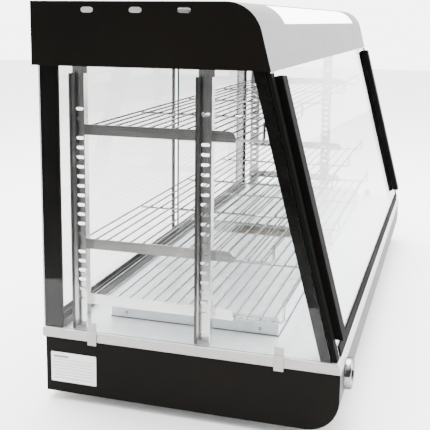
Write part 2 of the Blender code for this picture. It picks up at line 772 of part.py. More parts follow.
def make_tracks():
    """Two-groove tracks: one standing on the deck, one upside down inside the canopy."""
    front, rear, inner_groove, outer_groove = track_depths()
    groove = outer_groove - inner_groove - TRACK_WALL
    stops = [front, front + TRACK_WALL, front + TRACK_WALL + groove, front + TRACK_WALL * 2 + groove,
             rear - TRACK_WALL, rear]
    reach = HALF_LENGTH - REAR_POST_INNER - CLEARANCE
    for name, foot, way in (("door_track_bottom", HOUSE_LOW, 1), ("door_track_top", TOP_TRACK_Z, -1)):
        floor = foot + way * TRACK_WALL
        crest = foot + way * TRACK_HEIGHT
        outline = [(stops[0], foot), (stops[5], foot), (stops[5], crest), (stops[4], crest),
                   (stops[4], floor), (stops[3], floor), (stops[3], crest), (stops[2], crest),
                   (stops[2], floor), (stops[1], floor), (stops[1], crest), (stops[0], crest)]
        outline = [(y_at(across), up) for across, up in outline]
        outline_solid(name, [outline], ACROSS, (0.0, 0.0, 0.0), reach * 2, BLACK_PLASTIC)


def make_doors():
    """Two sliding panes, the left one in the outer groove, each with its own stick-on pull."""
    inner_groove, outer_groove = track_depths()[2:]
    low = HOUSE_LOW + TRACK_WALL + CLEARANCE
    high = TOP_TRACK_Z - TRACK_WALL - DOOR_HEADROOM
    jamb = HALF_LENGTH - REAR_POST_INNER - DOOR_STOP
    width = jamb + DOOR_OVERLAP / 2
    for (side_name, side), depth in zip(SIDES, (outer_groove, inner_groove)):
        centre = (side * (jamb - width / 2), y_at(depth), (low + high) / 2)
        mesh = box_mesh(f"rear_door_{side_name}", (width, DOOR_GLASS, high - low))
        door = make_object(f"rear_door_{side_name}", mesh, CLEAR_GLASS, centre)
        soften(door, EDGE_ROUNDING)
        at = (side * (jamb - HANDLE_FROM_EDGE), y_at(depth + DOOR_GLASS / 2 + CLEARANCE + HANDLE_PROUD / 2),
              (DECK_Z + CANOPY_Z) / 2)
        mesh = box_mesh(f"door_handle_{side_name}", (HANDLE_WIDTH, HANDLE_PROUD, HANDLE_HEIGHT))
        handle = make_object(f"door_handle_{side_name}", mesh, BLACK_PLASTIC, at)
        soften(handle, HANDLE_ROUNDING, 3)


# Shelf uprights, arms and racks ---------------------------------------------------------------------

def slot_levels():
    """Heights of the slots in an upright, lowest first."""
    top = CANOPY_Z - SLOT_BELOW_CANOPY
    count = int((top - DECK_Z - SLOT_ABOVE_DECK) / SLOT_PITCH) + 1
    return [top - SLOT_PITCH * (count - 1 - index) for index in range(count)]


def tier_levels():
    """Slot heights that carry the arms: the second slot, one a third of the way up, and the last but one."""
    levels = slot_levels()
    lowest = 1
    highest = len(levels) - 2
    middle = lowest + (highest - lowest) // 3
    return [levels[lowest], levels[middle], levels[highest]]


UPRIGHTS = (("front", UPRIGHT_FRONT_DEPTH), ("rear", UPRIGHT_REAR_DEPTH))
WEB_INNER = UPRIGHT_INSET + SHEET


def make_uprights():
    """Slotted steel uprights: a web with flanges towards the glass and a screwed tab on top."""
    for side_name, side in SIDES:
        web = x_at(UPRIGHT_INSET, side)
        outer = x_at(UPRIGHT_INSET - UPRIGHT_FLANGE, side)
        for row, depth in UPRIGHTS:
            path = [(outer, depth), (web, depth), (web, depth + UPRIGHT_WEB), (outer, depth + UPRIGHT_WEB)]
            upright = folded_sheet(f"shelf_upright_{row}_{side_name}", path, "Z", HOUSE_LOW, HOUSE_HIGH,
                                   SHEET, side, STEEL)
            slots = [stadium(y_at(depth + SLOT_FROM_FRONT), level, SLOT_LENGTH, SLOT_HEIGHT)
                     for level in slot_levels()]
            cut(upright, outline_cutter(f"slots_{row}_{side_name}", slots, ACROSS, (web, 0.0, 0.0),
                                        SHEET * 5))
            inside, outside = sorted((x_at(UPRIGHT_INSET - CLEARANCE, side), x_at(0.0, side)))
            behind = depth + UPRIGHT_WEB + TRIM_MARGIN
            trim = box_cutter(f"tab_trim_{row}_{side_name}",
                              (inside, y_at(depth - TRIM_MARGIN), HOUSE_HIGH - UPRIGHT_TAB),
                              (outside, y_at(behind), HOUSE_HIGH + TRIM_MARGIN))
            cut(upright, trim)


def make_arms():
    """Angle-section shelf arms with two ears that hook into the uprights' slots."""
    rear = UPRIGHT_REAR_DEPTH + ARM_REAR_MARGIN
    nose = arc((ARM_FRONT_DEPTH + ARM_NOSE_RADIUS, 0.0), ARM_NOSE_RADIUS, 180.0, 90.0, 5)
    for tier, level in enumerate(tier_levels(), start=1):
        top = level - ARM_HOOK_RISE
        foot = top - ARM_HEIGHT
        outline = [(rear, foot), (rear, top)]
        for row, depth in reversed(UPRIGHTS):
            middle = depth + SLOT_FROM_FRONT
            crown = level + SLOT_HEIGHT / 2
            outline += [(middle + ARM_EAR_WIDTH / 2, top), (middle + ARM_EAR_WIDTH / 2, crown),
                        (middle - ARM_EAR_WIDTH / 2, crown), (middle - ARM_EAR_WIDTH / 2, top)]
        outline += [(across, top - ARM_NOSE_RADIUS + up) for across, up in reversed(nose)]
        outline += [(ARM_FRONT_DEPTH, foot)]
        outline = [(y_at(across), up) for across, up in outline]
        for side_name, side in SIDES:
            plate = WEB_INNER + CLEARANCE + SHEET / 2
            arm = outline_solid(f"shelf_arm_{tier}_{side_name}", [outline], ACROSS,
                                (x_at(plate, side), 0.0, 0.0), SHEET, STEEL)
            low, high = sorted((x_at(plate, side), x_at(plate + ARM_LEDGE, side)))
            ledge = box(f"arm_ledge_{tier}_{side_name}",
                        (low, y_at(ARM_FRONT_DEPTH + ARM_LEDGE_MARGIN), foot + SHEET / 24),
                        (high, y_at(rear - ARM_LEDGE_MARGIN), foot + SHEET), None)
            join(arm, ledge)
            for row, depth in UPRIGHTS:
                middle = y_at(depth + SLOT_FROM_FRONT)
                low, high = sorted((x_at(plate, side), x_at(UPRIGHT_INSET - ARM_HOOK_REACH, side)))
                hook = box(f"arm_hook_{tier}_{row}_{side_name}",
                           (low, middle - ARM_HOOK_LENGTH / 2, level - ARM_HOOK_HEIGHT / 2),
                           (high, middle + ARM_HOOK_LENGTH / 2, level + ARM_HOOK_HEIGHT / 2), None)
                join(arm, hook)


def rack_levels():
    """Height of each rack's cross-wire centres, resting on the arms' ledges."""
    rise = ARM_HOOK_RISE + ARM_HEIGHT - SHEET - CLEARANCE - RACK_CROSS_WIRE / 2
    return [level - rise for level in tier_levels()]


def make_racks():
    """Wire racks: long wires on cross wires, whose turned-up front ends carry a guard wire."""
    end = WEB_INNER + CLEARANCE + SHEET + RACK_LEDGE_PLAY + RACK_CROSS_WIRE / 2
    reach = HALF_LENGTH - end
    rear = UPRIGHT_REAR_DEPTH + ARM_REAR_MARGIN - RACK_REAR_MARGIN
    for tier, (level, gap) in enumerate(zip(rack_levels(), RACK_GLASS_GAPS), start=1):
        front = glass_front(level + RACK_UPTURN) + GLASS_RUN + gap
        long_level = level + RACK_CROSS_WIRE / 2 + RACK_WIRE / 2 - RACK_WELD
        count = int((rear - front - RACK_WIRE_PITCH * 0.5) / RACK_WIRE_PITCH) + 1
        bars = []
        for index in range(count):
            depth = rear - index * RACK_WIRE_PITCH
            bars.append(((-reach, depth, long_level), (reach, depth, long_level), RACK_WIRE))
        for bay in range(RACK_BAYS + 1):
            across = -reach + 2 * reach * bay / RACK_BAYS
            bars.append(((across, front, level), (across, rear, level), RACK_CROSS_WIRE))
            bars.append(((across, front, level), (across, front, level + RACK_UPTURN),
                         RACK_CROSS_WIRE - RACK_BEND_THINNING))
        guard = level + RACK_UPTURN
        bars.append(((-reach, front, guard), (reach, front, guard), RACK_CROSS_WIRE))
        make_rack(f"wire_rack_{tier}", bars)


def make_rack(name, bars):
    """One rack as square-section bars, joined where they cross."""
    rack = None
    for index, (start, end, width) in enumerate(bars):
        half = width / 2
        low = [min(a, b) - half for a, b in zip(start, end)]
        high = [max(a, b) + half for a, b in zip(start, end)]
        low[1], high[1] = y_at(low[1]), y_at(high[1])
        if rack is None:
            rack = box(name, low, high, WIRE)
        else:
            join(rack, box(f"{name}_bar_{index}", low, high, None))


# Canopy ---------------------------------------------------------------------------------------------

LEAN_ANGLE = math.degrees(math.atan(FRONT_RUN))
CURVE_STEPS = 10


def canopy_curve_centre():
    """Centre of the rounded front top corner, tangent to the sloping front and the flat top."""
    corner = glass_front(TOP_Z) - CANOPY_PROUD
    tangent = CANOPY_RADIUS * math.tan(math.radians(90.0 - LEAN_ANGLE) / 2)
    return corner + tangent, TOP_Z - CANOPY_RADIUS


def canopy_foot():
    """Depth of the canopy's front lower edge."""
    return glass_front(CANOPY_Z) - CANOPY_PROUD


def canopy_front():
    """The canopy's front, from its lower edge up to the end of the rounded corner."""
    curve = arc(canopy_curve_centre(), CANOPY_RADIUS, 180.0 - LEAN_ANGLE, 90.0, CURVE_STEPS)
    return [(canopy_foot(), CANOPY_Z)] + curve


def make_canopy_caps():
    """Painted end plates with three cooling slots near the top edge."""
    points = canopy_front() + [(CANOPY_REAR, TOP_Z), (CANOPY_REAR, CANOPY_Z)]
    outline = [(y_at(across), up) for across, up in points]
    vents = [stadium(y_at(CANOPY_REAR - from_rear), TOP_Z - VENT_BELOW_TOP, VENT_LENGTH, VENT_HEIGHT)
             for from_rear in VENTS_FROM_REAR]
    for side_name, side in SIDES:
        centre = (x_at(CAP_SHEET / 2, side), 0.0, 0.0)
        outline_solid(f"canopy_cap_{side_name}", [outline] + vents, ACROSS, centre, CAP_SHEET, BLACK_PAINT)


def make_canopy_cover():
    """One steel sheet over the front and top, with a long window let into its curve."""
    reach = HALF_LENGTH - CAP_SHEET - CLEARANCE
    path = [(canopy_foot() + CANOPY_LIP, CANOPY_Z)] + canopy_front()
    path += [(CANOPY_REAR - SHEET - CLEARANCE, TOP_Z)]
    cover = folded_sheet("canopy_cover", path, "X", -reach, reach, SHEET, COVER_SIDE, STEEL)
    left = -HALF_LENGTH + WINDOW_LEFT
    right = HALF_LENGTH - WINDOW_RIGHT
    opening = box_cutter("window_cut", (left, y_at(canopy_foot() - CUT_THROUGH), TOP_Z - WINDOW_LOW),
                         (right, y_at(canopy_curve_centre()[0] - WINDOW_TOP_RUN), TOP_Z + CUT_THROUGH))
    cut(cover, opening)


def make_window():
    """The white light window: a sheet curved like the cover and laid under its opening."""
    centre = canopy_curve_centre()
    radius = CANOPY_RADIUS - SHEET - CLEARANCE
    low_z = TOP_Z - WINDOW_LOW - WINDOW_LAP
    path = arc(centre, radius, 180.0 - LEAN_ANGLE, 90.0, CURVE_STEPS)
    foot = path[0]
    drop = max(foot[1] - low_z, SHEET)
    path = [(foot[0] - drop * FRONT_RUN, foot[1] - drop)] + path
    path += [(centre[0] + WINDOW_LAP, centre[1] + radius)]
    left = -HALF_LENGTH + WINDOW_LEFT - WINDOW_LAP
    right = HALF_LENGTH - WINDOW_RIGHT + WINDOW_LAP
    folded_sheet("light_window", path, "X", left, right, WINDOW_SHEET, COVER_SIDE, WHITE_ACRYLIC)


def make_canopy_inside():
    """The underside sheet with its lamp slot, the rear fascia and the lamp above the slot."""
    reach = HALF_LENGTH - POST_GAP - CLEARANCE
    front = canopy_foot() + CANOPY_LIP + CLEARANCE
    track_front = track_depths()[0] - CLEARANCE
    middle = (front + track_front) / 2
    lamp_reach = HALF_LENGTH - LAMP_INSET
    hole = rectangle(-lamp_reach, y_at(middle - LAMP_SLOT_WIDTH / 2), lamp_reach,
                     y_at(middle + LAMP_SLOT_WIDTH / 2))
    plate = rectangle(-reach, y_at(front), reach, y_at(track_front))
    centre = (0.0, 0.0, CANOPY_Z + SHEET / 2)
    outline_solid("canopy_underside", [plate, hole], FLAT, centre, SHEET, STEEL)
    lamp_z = CANOPY_Z + SHEET + LAMP_RADIUS + LAMP_RISE
    lamp_end = lamp_reach - LAMP_END_GAP
    ends = ((-lamp_end, y_at(middle), lamp_z), (lamp_end, y_at(middle), lamp_z))
    tube("lamp_tube", ends, LAMP_RADIUS, WHITE_ACRYLIC, 3)
    cover_reach = HALF_LENGTH - CAP_SHEET - CLEARANCE
    box("canopy_rear_fascia", (-cover_reach, y_at(CANOPY_REAR - SHEET), CANOPY_Z),
        (cover_reach, y_at(CANOPY_REAR), TOP_Z - SHEET - CLEARANCE), STEEL)


# Controls -------------------------------------------------------------------------------------------

def make_thermometer():
    """A dial thermometer: a bezel on the apron's face and its can through the hole."""
    radius = THERMOMETER_RADIUS
    proud = THERMOMETER_PROUD
    dial = proud - DIAL_RECESS
    can = radius * THERMOMETER_CAN_SHARE
    profile = [(0.0, dial), (radius * 0.86, dial), (radius * 0.90, proud), (radius * 0.96, proud),
               (radius, proud - BEZEL_SLOPE), (radius, 0.0), (can, 0.0), (can, -THERMOMETER_CAN),
               (0.0, -THERMOMETER_CAN)]
    turned("thermometer", profile, thermometer_place(), (0, -1, 0), STEEL, 40)


def make_knob():
    """The thermostat knob: a waisted skirted knob with its shaft through the rear panel."""
    radius = KNOB_RADIUS
    proud = KNOB_PROUD
    profile = [(0.0, proud), (radius * 0.62, proud), (radius * 0.70, proud * 0.92),
               (radius * 0.74, KNOB_SKIRT * 2), (radius, KNOB_SKIRT), (radius, 0.0), (KNOB_SHAFT, 0.0),
               (KNOB_SHAFT, -KNOB_SHAFT_LENGTH),
               (0.0, -KNOB_SHAFT_LENGTH)]
    turned("thermostat_knob", profile, rear_place(KNOB_INSET, 1, CONTROL_RISE), (0, 1, 0), BLACK_PLASTIC, 36)


def make_switches():
    """Rocker switches in the rear panel, each tilted to off about its middle."""
    for name, inset in zip(("power_switch", "light_switch"), SWITCH_INSETS):
        pivot = rear_place(inset, 1, CONTROL_RISE)
        half = SWITCH_WIDTH / 2 - SWITCH_GAP
        tall = SWITCH_HEIGHT / 2 - SWITCH_GAP
        inner = tall - SWITCH_TAPER
        outline = [(-tall, 0.0), (-inner, -SWITCH_BODY), (inner, -SWITCH_BODY), (tall, 0.0),
                   (tall, SWITCH_PROUD), (0.0, SWITCH_PROUD * 0.5), (-tall, SWITCH_PROUD)]
        outline = [(proud, up) for up, proud in outline]
        rocker = outline_solid(name, [outline], ACROSS, pivot, half * 2, BLACK_PLASTIC)
        rocker.rotation_euler.rotate_axis("Z", -SWITCH_TILT)


def make_gland():
    """The cable gland: a round body with a domed nut and an open bore."""
    outer = GLAND_RADIUS
    bore = GLAND_BORE
    proud = GLAND_PROUD
    neck = outer * GLAND_NECK_SHARE
    profile = [(bore, proud), (outer * 0.62, proud), (outer * 0.85, proud * 0.72), (outer, proud * 0.35),
               (outer, 0.0), (neck, 0.0), (neck, -GLAND_NECK_LENGTH), (bore, -GLAND_NECK_LENGTH),
               (bore, proud)]
    turned("cable_gland", profile, rear_place(GLAND_INSET, -1, GLAND_RISE), (0, 1, 0), BLACK_PLASTIC, 24)


make_feet()
make_base()
make_rear_panel()
make_deck()
make_heaters()
make_posts()
make_glass()
make_front_channel()
make_front_bars()
make_clips()
make_tracks()
make_doors()
make_uprights()
make_arms()
make_racks()
make_canopy_caps()
make_canopy_cover()
make_window()
make_canopy_inside()
make_thermometer()
make_knob()
make_switches()
make_gland()
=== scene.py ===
"""Looks of a countertop hot food display case, put together piece by piece around its fixed model.

Metres, +Z up. X runs along the case, the customer's glass front faces -Y and the sliding doors +Y.
"""

import json
import math

import bmesh
import bpy
from mathutils import Matrix, Quaternion, Vector

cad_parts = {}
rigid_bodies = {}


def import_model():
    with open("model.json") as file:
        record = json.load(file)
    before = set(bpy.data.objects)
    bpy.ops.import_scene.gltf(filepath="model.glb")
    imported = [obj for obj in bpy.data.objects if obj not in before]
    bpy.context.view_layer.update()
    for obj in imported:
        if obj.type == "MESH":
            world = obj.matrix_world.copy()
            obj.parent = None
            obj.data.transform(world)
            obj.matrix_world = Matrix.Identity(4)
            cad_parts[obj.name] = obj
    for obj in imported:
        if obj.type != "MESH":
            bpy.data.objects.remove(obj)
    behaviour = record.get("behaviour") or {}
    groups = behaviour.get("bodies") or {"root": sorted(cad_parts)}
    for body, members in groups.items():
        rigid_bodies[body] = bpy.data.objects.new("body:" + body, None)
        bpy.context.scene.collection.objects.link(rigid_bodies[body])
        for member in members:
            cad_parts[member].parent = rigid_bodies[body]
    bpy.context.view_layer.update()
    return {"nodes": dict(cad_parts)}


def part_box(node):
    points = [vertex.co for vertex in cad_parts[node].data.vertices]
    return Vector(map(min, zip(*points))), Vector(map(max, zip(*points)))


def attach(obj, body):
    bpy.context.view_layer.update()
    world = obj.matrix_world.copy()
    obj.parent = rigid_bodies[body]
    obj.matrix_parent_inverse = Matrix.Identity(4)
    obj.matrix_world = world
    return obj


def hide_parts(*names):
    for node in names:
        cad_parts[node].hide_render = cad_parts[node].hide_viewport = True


for left_over in list(bpy.data.objects):
    bpy.data.objects.remove(left_over, do_unlink=True)

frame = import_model()


# ---- Studio -------------------------------------------------------------------------------------------
# A white paper floor that ends a little past the case's left end, and a bright room whose left side is
# dimmer, with two soft boxes. None of it belongs to the case.

def join_up(tree, source, target):
    tree.links.new(source, target)


def fill_inputs(tree, made, inputs):
    """Sets a node's inputs to values, or links them to other nodes' outputs."""
    for name, value in (inputs or {}).items():
        if isinstance(value, bpy.types.NodeSocket):
            join_up(tree, value, made.inputs[name])
        else:
            made.inputs[name].default_value = value


def add(tree, kind, inputs=None, **settings):
    """A shader node, with its settings and inputs."""
    made = tree.nodes.new("ShaderNode" + kind)
    for name, value in settings.items():
        setattr(made, name, value)
    fill_inputs(tree, made, inputs)
    return made


def new_finish(name, colour, roughness, metallic=0.0):
    """A material with one Principled shader, returned with its tree and that shader."""
    finish = bpy.data.materials.new(name)
    finish.use_nodes = True
    tree = finish.node_tree
    shader = tree.nodes["Principled BSDF"]
    shader.inputs["Base Color"].default_value = (*colour, 1.0)
    shader.inputs["Roughness"].default_value = roughness
    shader.inputs["Metallic"].default_value = metallic
    return finish, tree, shader


def new_piece(name, shape, finish, smooth=False, place=(0.0, 0.0, 0.0)):
    """An object made from a bmesh, which is used up."""
    mesh = bpy.data.meshes.new(name)
    shape.to_mesh(mesh)
    shape.free()
    if smooth:
        mesh.shade_smooth()
        mesh.set_sharp_from_angle(angle=math.radians(38))
    mesh.materials.append(finish)
    made = bpy.data.objects.new(name, mesh)
    made.location = place
    bpy.context.scene.collection.objects.link(made)
    return made


paper, paper_tree, paper_shader = new_finish("white_paper", (0.93, 0.93, 0.93), 0.7)
paper_fibre = add(paper_tree, "TexNoise", {"Scale": 40.0, "Detail": 5.0})
paper_bump = add(paper_tree, "Bump",
                 {"Height": paper_fibre.outputs["Fac"], "Distance": 0.0002, "Strength": 0.3})
join_up(paper_tree, paper_bump.outputs["Normal"], paper_shader.inputs["Normal"])
PAPER_LEFT = -1.15
PAPER_RIGHT = 9.0
PAPER_HALF_DEPTH = 6.0
paper_shape = bmesh.new()
bmesh.ops.create_grid(paper_shape, x_segments=2, y_segments=2, size=1.0)
bmesh.ops.scale(paper_shape, vec=Vector(((PAPER_RIGHT - PAPER_LEFT) / 2, PAPER_HALF_DEPTH, 1.0)),
                verts=paper_shape.verts)
paper_floor = new_piece("paper_floor", paper_shape, paper, place=((PAPER_LEFT + PAPER_RIGHT) / 2, 0.0, 0.0))

room = bpy.data.worlds.new("studio_room")
room.use_nodes = True
bpy.context.scene.world = room
room_tree = room.node_tree
BRIGHT_SIDE = (0.80, 0.44, 0.41)
DIM_GLOW = 0.22
BRIGHT_GLOW = 6.0
LOW_GLOW = 0.9
room_way = add(room_tree, "TexCoord")
room_side = add(room_tree, "VectorMath", {0: room_way.outputs["Generated"], 1: BRIGHT_SIDE},
                operation="DOT_PRODUCT")
room_glow = add(room_tree, "MapRange",
                {"Value": room_side.outputs["Value"], "From Min": -0.50, "From Max": 0.45,
                 "To Min": DIM_GLOW, "To Max": BRIGHT_GLOW}, interpolation_type="SMOOTHSTEP")
room_axes = add(room_tree, "SeparateXYZ", {"Vector": room_way.outputs["Generated"]})
room_low = add(room_tree, "MapRange", {"Value": room_axes.outputs["Z"], "From Min": -0.22, "From Max": -0.34,
                                       "To Min": 0.0, "To Max": LOW_GLOW})
room_sum = add(room_tree, "Math", {0: room_glow.outputs["Result"], 1: room_low.outputs["Result"]},
               operation="ADD")
join_up(room_tree, room_sum.outputs["Value"], room_tree.nodes["Background"].inputs["Strength"])
room_tree.nodes["Background"].inputs["Color"].default_value = (1.0, 1.0, 1.0, 1.0)


def soft_box(name, place, target, size, power):
    """A rectangular lamp at place, turned to shine on target."""
    lamp = bpy.data.lights.new(name, "AREA")
    lamp.shape = "RECTANGLE"
    lamp.size, lamp.size_y = size
    lamp.energy = power
    made = bpy.data.objects.new(name, lamp)
    made.location = place
    made.rotation_euler = (Vector(target) - Vector(place)).to_track_quat("-Z", "Y").to_euler()
    bpy.context.scene.collection.objects.link(made)


soft_box("overhead_soft_box", (0.3, 0.3, 2.6), (0.1, 0.0, 0.3), (2.8, 2.2), 260.0)
soft_box("front_soft_box", (0.6, -3.0, 1.3), (0.0, -0.2, 0.4), (1.0, 1.8), 90.0)

CAMERA_PLACE = (-1.7199, -0.3805, 0.6189)
CAMERA_YAW = 0.2973
CAMERA_PITCH = -0.1641
CAMERA_ROLL = 0.0092
LENS = 67.6
SENSOR = 36.0
SHIFT_ACROSS = 0.0194
SHIFT_UP = -0.1437
NEAREST_SEEN = 0.05
camera_data = bpy.data.cameras.new("camera")
camera_data.sensor_width = SENSOR
camera_data.lens = LENS
camera_data.shift_x = SHIFT_ACROSS
camera_data.shift_y = SHIFT_UP
camera_data.clip_start = NEAREST_SEEN
camera = bpy.data.objects.new("camera", camera_data)
forward = Vector((math.cos(CAMERA_PITCH) * math.cos(CAMERA_YAW),
                  math.cos(CAMERA_PITCH) * math.sin(CAMERA_YAW), math.sin(CAMERA_PITCH)))
camera.location = CAMERA_PLACE
camera.rotation_mode = "QUATERNION"
camera.rotation_quaternion = forward.to_track_quat("-Z", "Y") @ Quaternion((0.0, 0.0, 1.0), CAMERA_ROLL)
bpy.context.scene.collection.objects.link(camera)
bpy.context.scene.camera = camera


# ---- Black steel: end panels, posts, bars, channel and canopy caps ------------------------------------
# The end panels, the four posts and the canopy's end plates are folded or tube steel, sprayed satin black.
# The two bars proud of the front glass and the channel under it are duller. All show a fine orange peel.

def effect(name, inputs, outputs):
    """A shader node group with named sockets, returned with its input and output sockets."""
    tree = bpy.data.node_groups.new(name, "ShaderNodeTree")
    for label, kind, value in inputs:
        socket = tree.interface.new_socket(label, in_out="INPUT", socket_type="NodeSocket" + kind)
        socket.default_value = value
    for label, kind in outputs:
        tree.interface.new_socket(label, in_out="OUTPUT", socket_type="NodeSocket" + kind)
    return tree, tree.nodes.new("NodeGroupInput").outputs, tree.nodes.new("NodeGroupOutput").inputs


def put_effect(tree, group, inputs=None):
    """A node group placed in a material, returned as its outputs."""
    made = tree.nodes.new("ShaderNodeGroup")
    made.node_tree = group
    fill_inputs(tree, made, inputs)
    return made.outputs


def blend(tree, share, first, second):
    """A colour that goes from the first to the second as share goes from 0 to 1."""
    return add(tree, "Mix", {0: share, 6: first, 7: second}, data_type="RGBA").outputs[2]


rubbed_edges, start, end = effect("rubbed_edges", [("Radius", "Float", 0.001), ("Amount", "Float", 1.0)],
                                  [("Mask", "Float")])
round_normal = add(rubbed_edges, "Bevel", {"Radius": start["Radius"]}, samples=4)
flat_normal = add(rubbed_edges, "NewGeometry")
turn = add(rubbed_edges, "VectorMath", {0: round_normal.outputs["Normal"], 1: flat_normal.outputs["Normal"]},
           operation="DOT_PRODUCT")
bent = add(rubbed_edges, "MapRange", {"Value": turn.outputs["Value"], "From Min": 0.985, "From Max": 0.80})
place = add(rubbed_edges, "TexCoord")
chance = add(rubbed_edges, "TexNoise", {"Vector": place.outputs["Object"], "Scale": 70.0, "Detail": 6.0})
patchy = add(rubbed_edges, "MapRange", {"Value": chance.outputs["Fac"], "From Min": 0.35, "From Max": 0.70})
broken = add(rubbed_edges, "Math", {0: bent.outputs["Result"], 1: patchy.outputs["Result"]},
             operation="MULTIPLY")
scaled = add(rubbed_edges, "Math", {0: broken.outputs["Value"], 1: start["Amount"]}, operation="MULTIPLY",
             use_clamp=True)
join_up(rubbed_edges, scaled.outputs["Value"], end["Mask"])

orange_peel, start, end = effect("orange_peel", [("Grain", "Float", 900.0), ("Gloss", "Float", 0.35)],
                                 [("Tone", "Float"), ("Roughness", "Float"), ("Height", "Float")])
place = add(orange_peel, "TexCoord")
pebble = add(orange_peel, "TexNoise",
             {"Vector": place.outputs["Object"], "Scale": start["Grain"], "Detail": 2.0})
cloud = add(orange_peel, "TexNoise", {"Vector": place.outputs["Object"], "Scale": 5.0, "Detail": 4.0,
                                      "Distortion": 0.4})
smear = add(orange_peel, "MapRange", {"Value": cloud.outputs["Fac"], "From Min": 0.3, "From Max": 0.7,
                                      "To Min": -0.05, "To Max": 0.09})
rough = add(orange_peel, "Math", {0: start["Gloss"], 1: smear.outputs["Result"]}, operation="ADD")
join_up(orange_peel, cloud.outputs["Fac"], end["Tone"])
join_up(orange_peel, rough.outputs["Value"], end["Roughness"])
join_up(orange_peel, pebble.outputs["Fac"], end["Height"])


def sprayed_finish(name, dark, pale, rubbed, gloss, grain, bump):
    """Paint or moulded plastic: two close tones, peel in the surface and paler rubbed edges."""
    finish, tree, shader = new_finish(name, dark, gloss)
    peel = put_effect(tree, orange_peel, {"Grain": grain, "Gloss": gloss})
    wear = put_effect(tree, rubbed_edges, {"Radius": 0.0008, "Amount": 0.3})
    tone = blend(tree, peel["Tone"], (*dark, 1.0), (*pale, 1.0))
    worn = blend(tree, wear["Mask"], tone, (*rubbed, 1.0))
    dent = add(tree, "Bump", {"Height": peel["Height"], "Distance": bump, "Strength": 0.5})
    join_up(tree, worn, shader.inputs["Base Color"])
    join_up(tree, peel["Roughness"], shader.inputs["Roughness"])
    join_up(tree, dent.outputs["Normal"], shader.inputs["Normal"])
    return finish, shader


RUBBED_PAINT = (0.04, 0.039, 0.037)
black_paint, black_paint_shader = sprayed_finish(
    "satin_black_paint", (0.0045, 0.004, 0.0034), (0.0095, 0.0082, 0.007), RUBBED_PAINT, 0.36, 900.0, 0.00010)
black_paint_shader.inputs["Specular IOR Level"].default_value = 0.03
matt_black, matt_black_shader = sprayed_finish(
    "matt_black_paint", (0.004, 0.004, 0.004), (0.008, 0.0075, 0.007), RUBBED_PAINT, 0.48, 900.0, 0.00010)
matt_black_shader.inputs["Specular IOR Level"].default_value = 0.004


def dress(node_name, finish, rounding=0.0004):
    """Gives a fixed piece its finish, and rounds its sharp edges by a hair so that they catch light."""
    piece = frame["nodes"][node_name]
    for place in piece.material_slots:
        place.link = "OBJECT"
        place.material = finish
    if rounding:
        joined = piece.modifiers.new("joined", "WELD")
        joined.merge_threshold = 0.00002
        edge = piece.modifiers.new("edges", "BEVEL")
        edge.width = rounding
        edge.segments = 2
        edge.limit_method = "ANGLE"
        edge.angle_limit = math.radians(50)
    return piece


ENDS = ("left", "right")
SIDES = (("left", -1), ("right", 1))
for end_name in ENDS:
    dress(f"base_end_panel_{end_name}", black_paint, 0.0003)
    dress(f"front_post_{end_name}", black_paint, 0.0006)
    dress(f"rear_post_{end_name}", black_paint, 0.0006)
    dress(f"front_glass_bar_{end_name}", matt_black, 0.0012)
    dress(f"canopy_cap_{end_name}", black_paint, 0.0003)
dress("front_channel", matt_black, 0.0003)


# ---- Stainless sheet: deck, apron, pan, panels --------------------------------------------------------
# The deck is one sheet folded down all round, the apron another that rolls under the front, and the pan
# and rear panel close the base. All are satin stainless with a grain along the case, dulled by wiping.
# The deck's top face is painted a bright bluish white as painted light, and its folded sides a warmer, darker
# grey as painted shade. The apron's much darker tone and dulled glancing shine are painted shade on the same
# stainless.

drawn_grain, start, end = effect("drawn_grain",
                                 [("Stretch", "Vector", (8.0, 1400.0, 1400.0)), ("Polish", "Float", 0.25),
                                  ("Dark", "Color", (0.5, 0.5, 0.5, 1.0)),
                                  ("Light", "Color", (0.8, 0.8, 0.8, 1.0))],
                                 [("Colour", "Color"), ("Roughness", "Float"), ("Height", "Float")])
place = add(drawn_grain, "TexCoord")
along = add(drawn_grain, "VectorMath", {0: place.outputs["Object"], 1: start["Stretch"]},
            operation="MULTIPLY")
hair = add(drawn_grain, "TexNoise", {"Vector": along.outputs["Vector"], "Scale": 1.0, "Detail": 3.0})
band = add(drawn_grain, "TexNoise", {"Vector": along.outputs["Vector"], "Scale": 0.08, "Detail": 2.0})
wiped = add(drawn_grain, "TexNoise", {"Vector": place.outputs["Object"], "Scale": 9.0, "Detail": 5.0,
                                      "Distortion": 0.8})
both = add(drawn_grain, "Mix", {0: 0.45, 2: hair.outputs["Fac"], 3: band.outputs["Fac"]})
tone = blend(drawn_grain, both.outputs[0], start["Dark"], start["Light"])
streak = add(drawn_grain, "MapRange", {"Value": hair.outputs["Fac"], "From Min": 0.3, "From Max": 0.7,
                                       "To Min": -0.05, "To Max": 0.07})
smudge = add(drawn_grain, "MapRange", {"Value": wiped.outputs["Fac"], "From Min": 0.42, "From Max": 0.75,
                                       "To Min": 0.0, "To Max": 0.10})
duller = add(drawn_grain, "Math", {0: streak.outputs["Result"], 1: smudge.outputs["Result"]}, operation="ADD")
rough = add(drawn_grain, "Math", {0: duller.outputs["Value"], 1: start["Polish"]}, operation="ADD")
join_up(drawn_grain, tone, end["Colour"])
join_up(drawn_grain, rough.outputs["Value"], end["Roughness"])
join_up(drawn_grain, hair.outputs["Fac"], end["Height"])


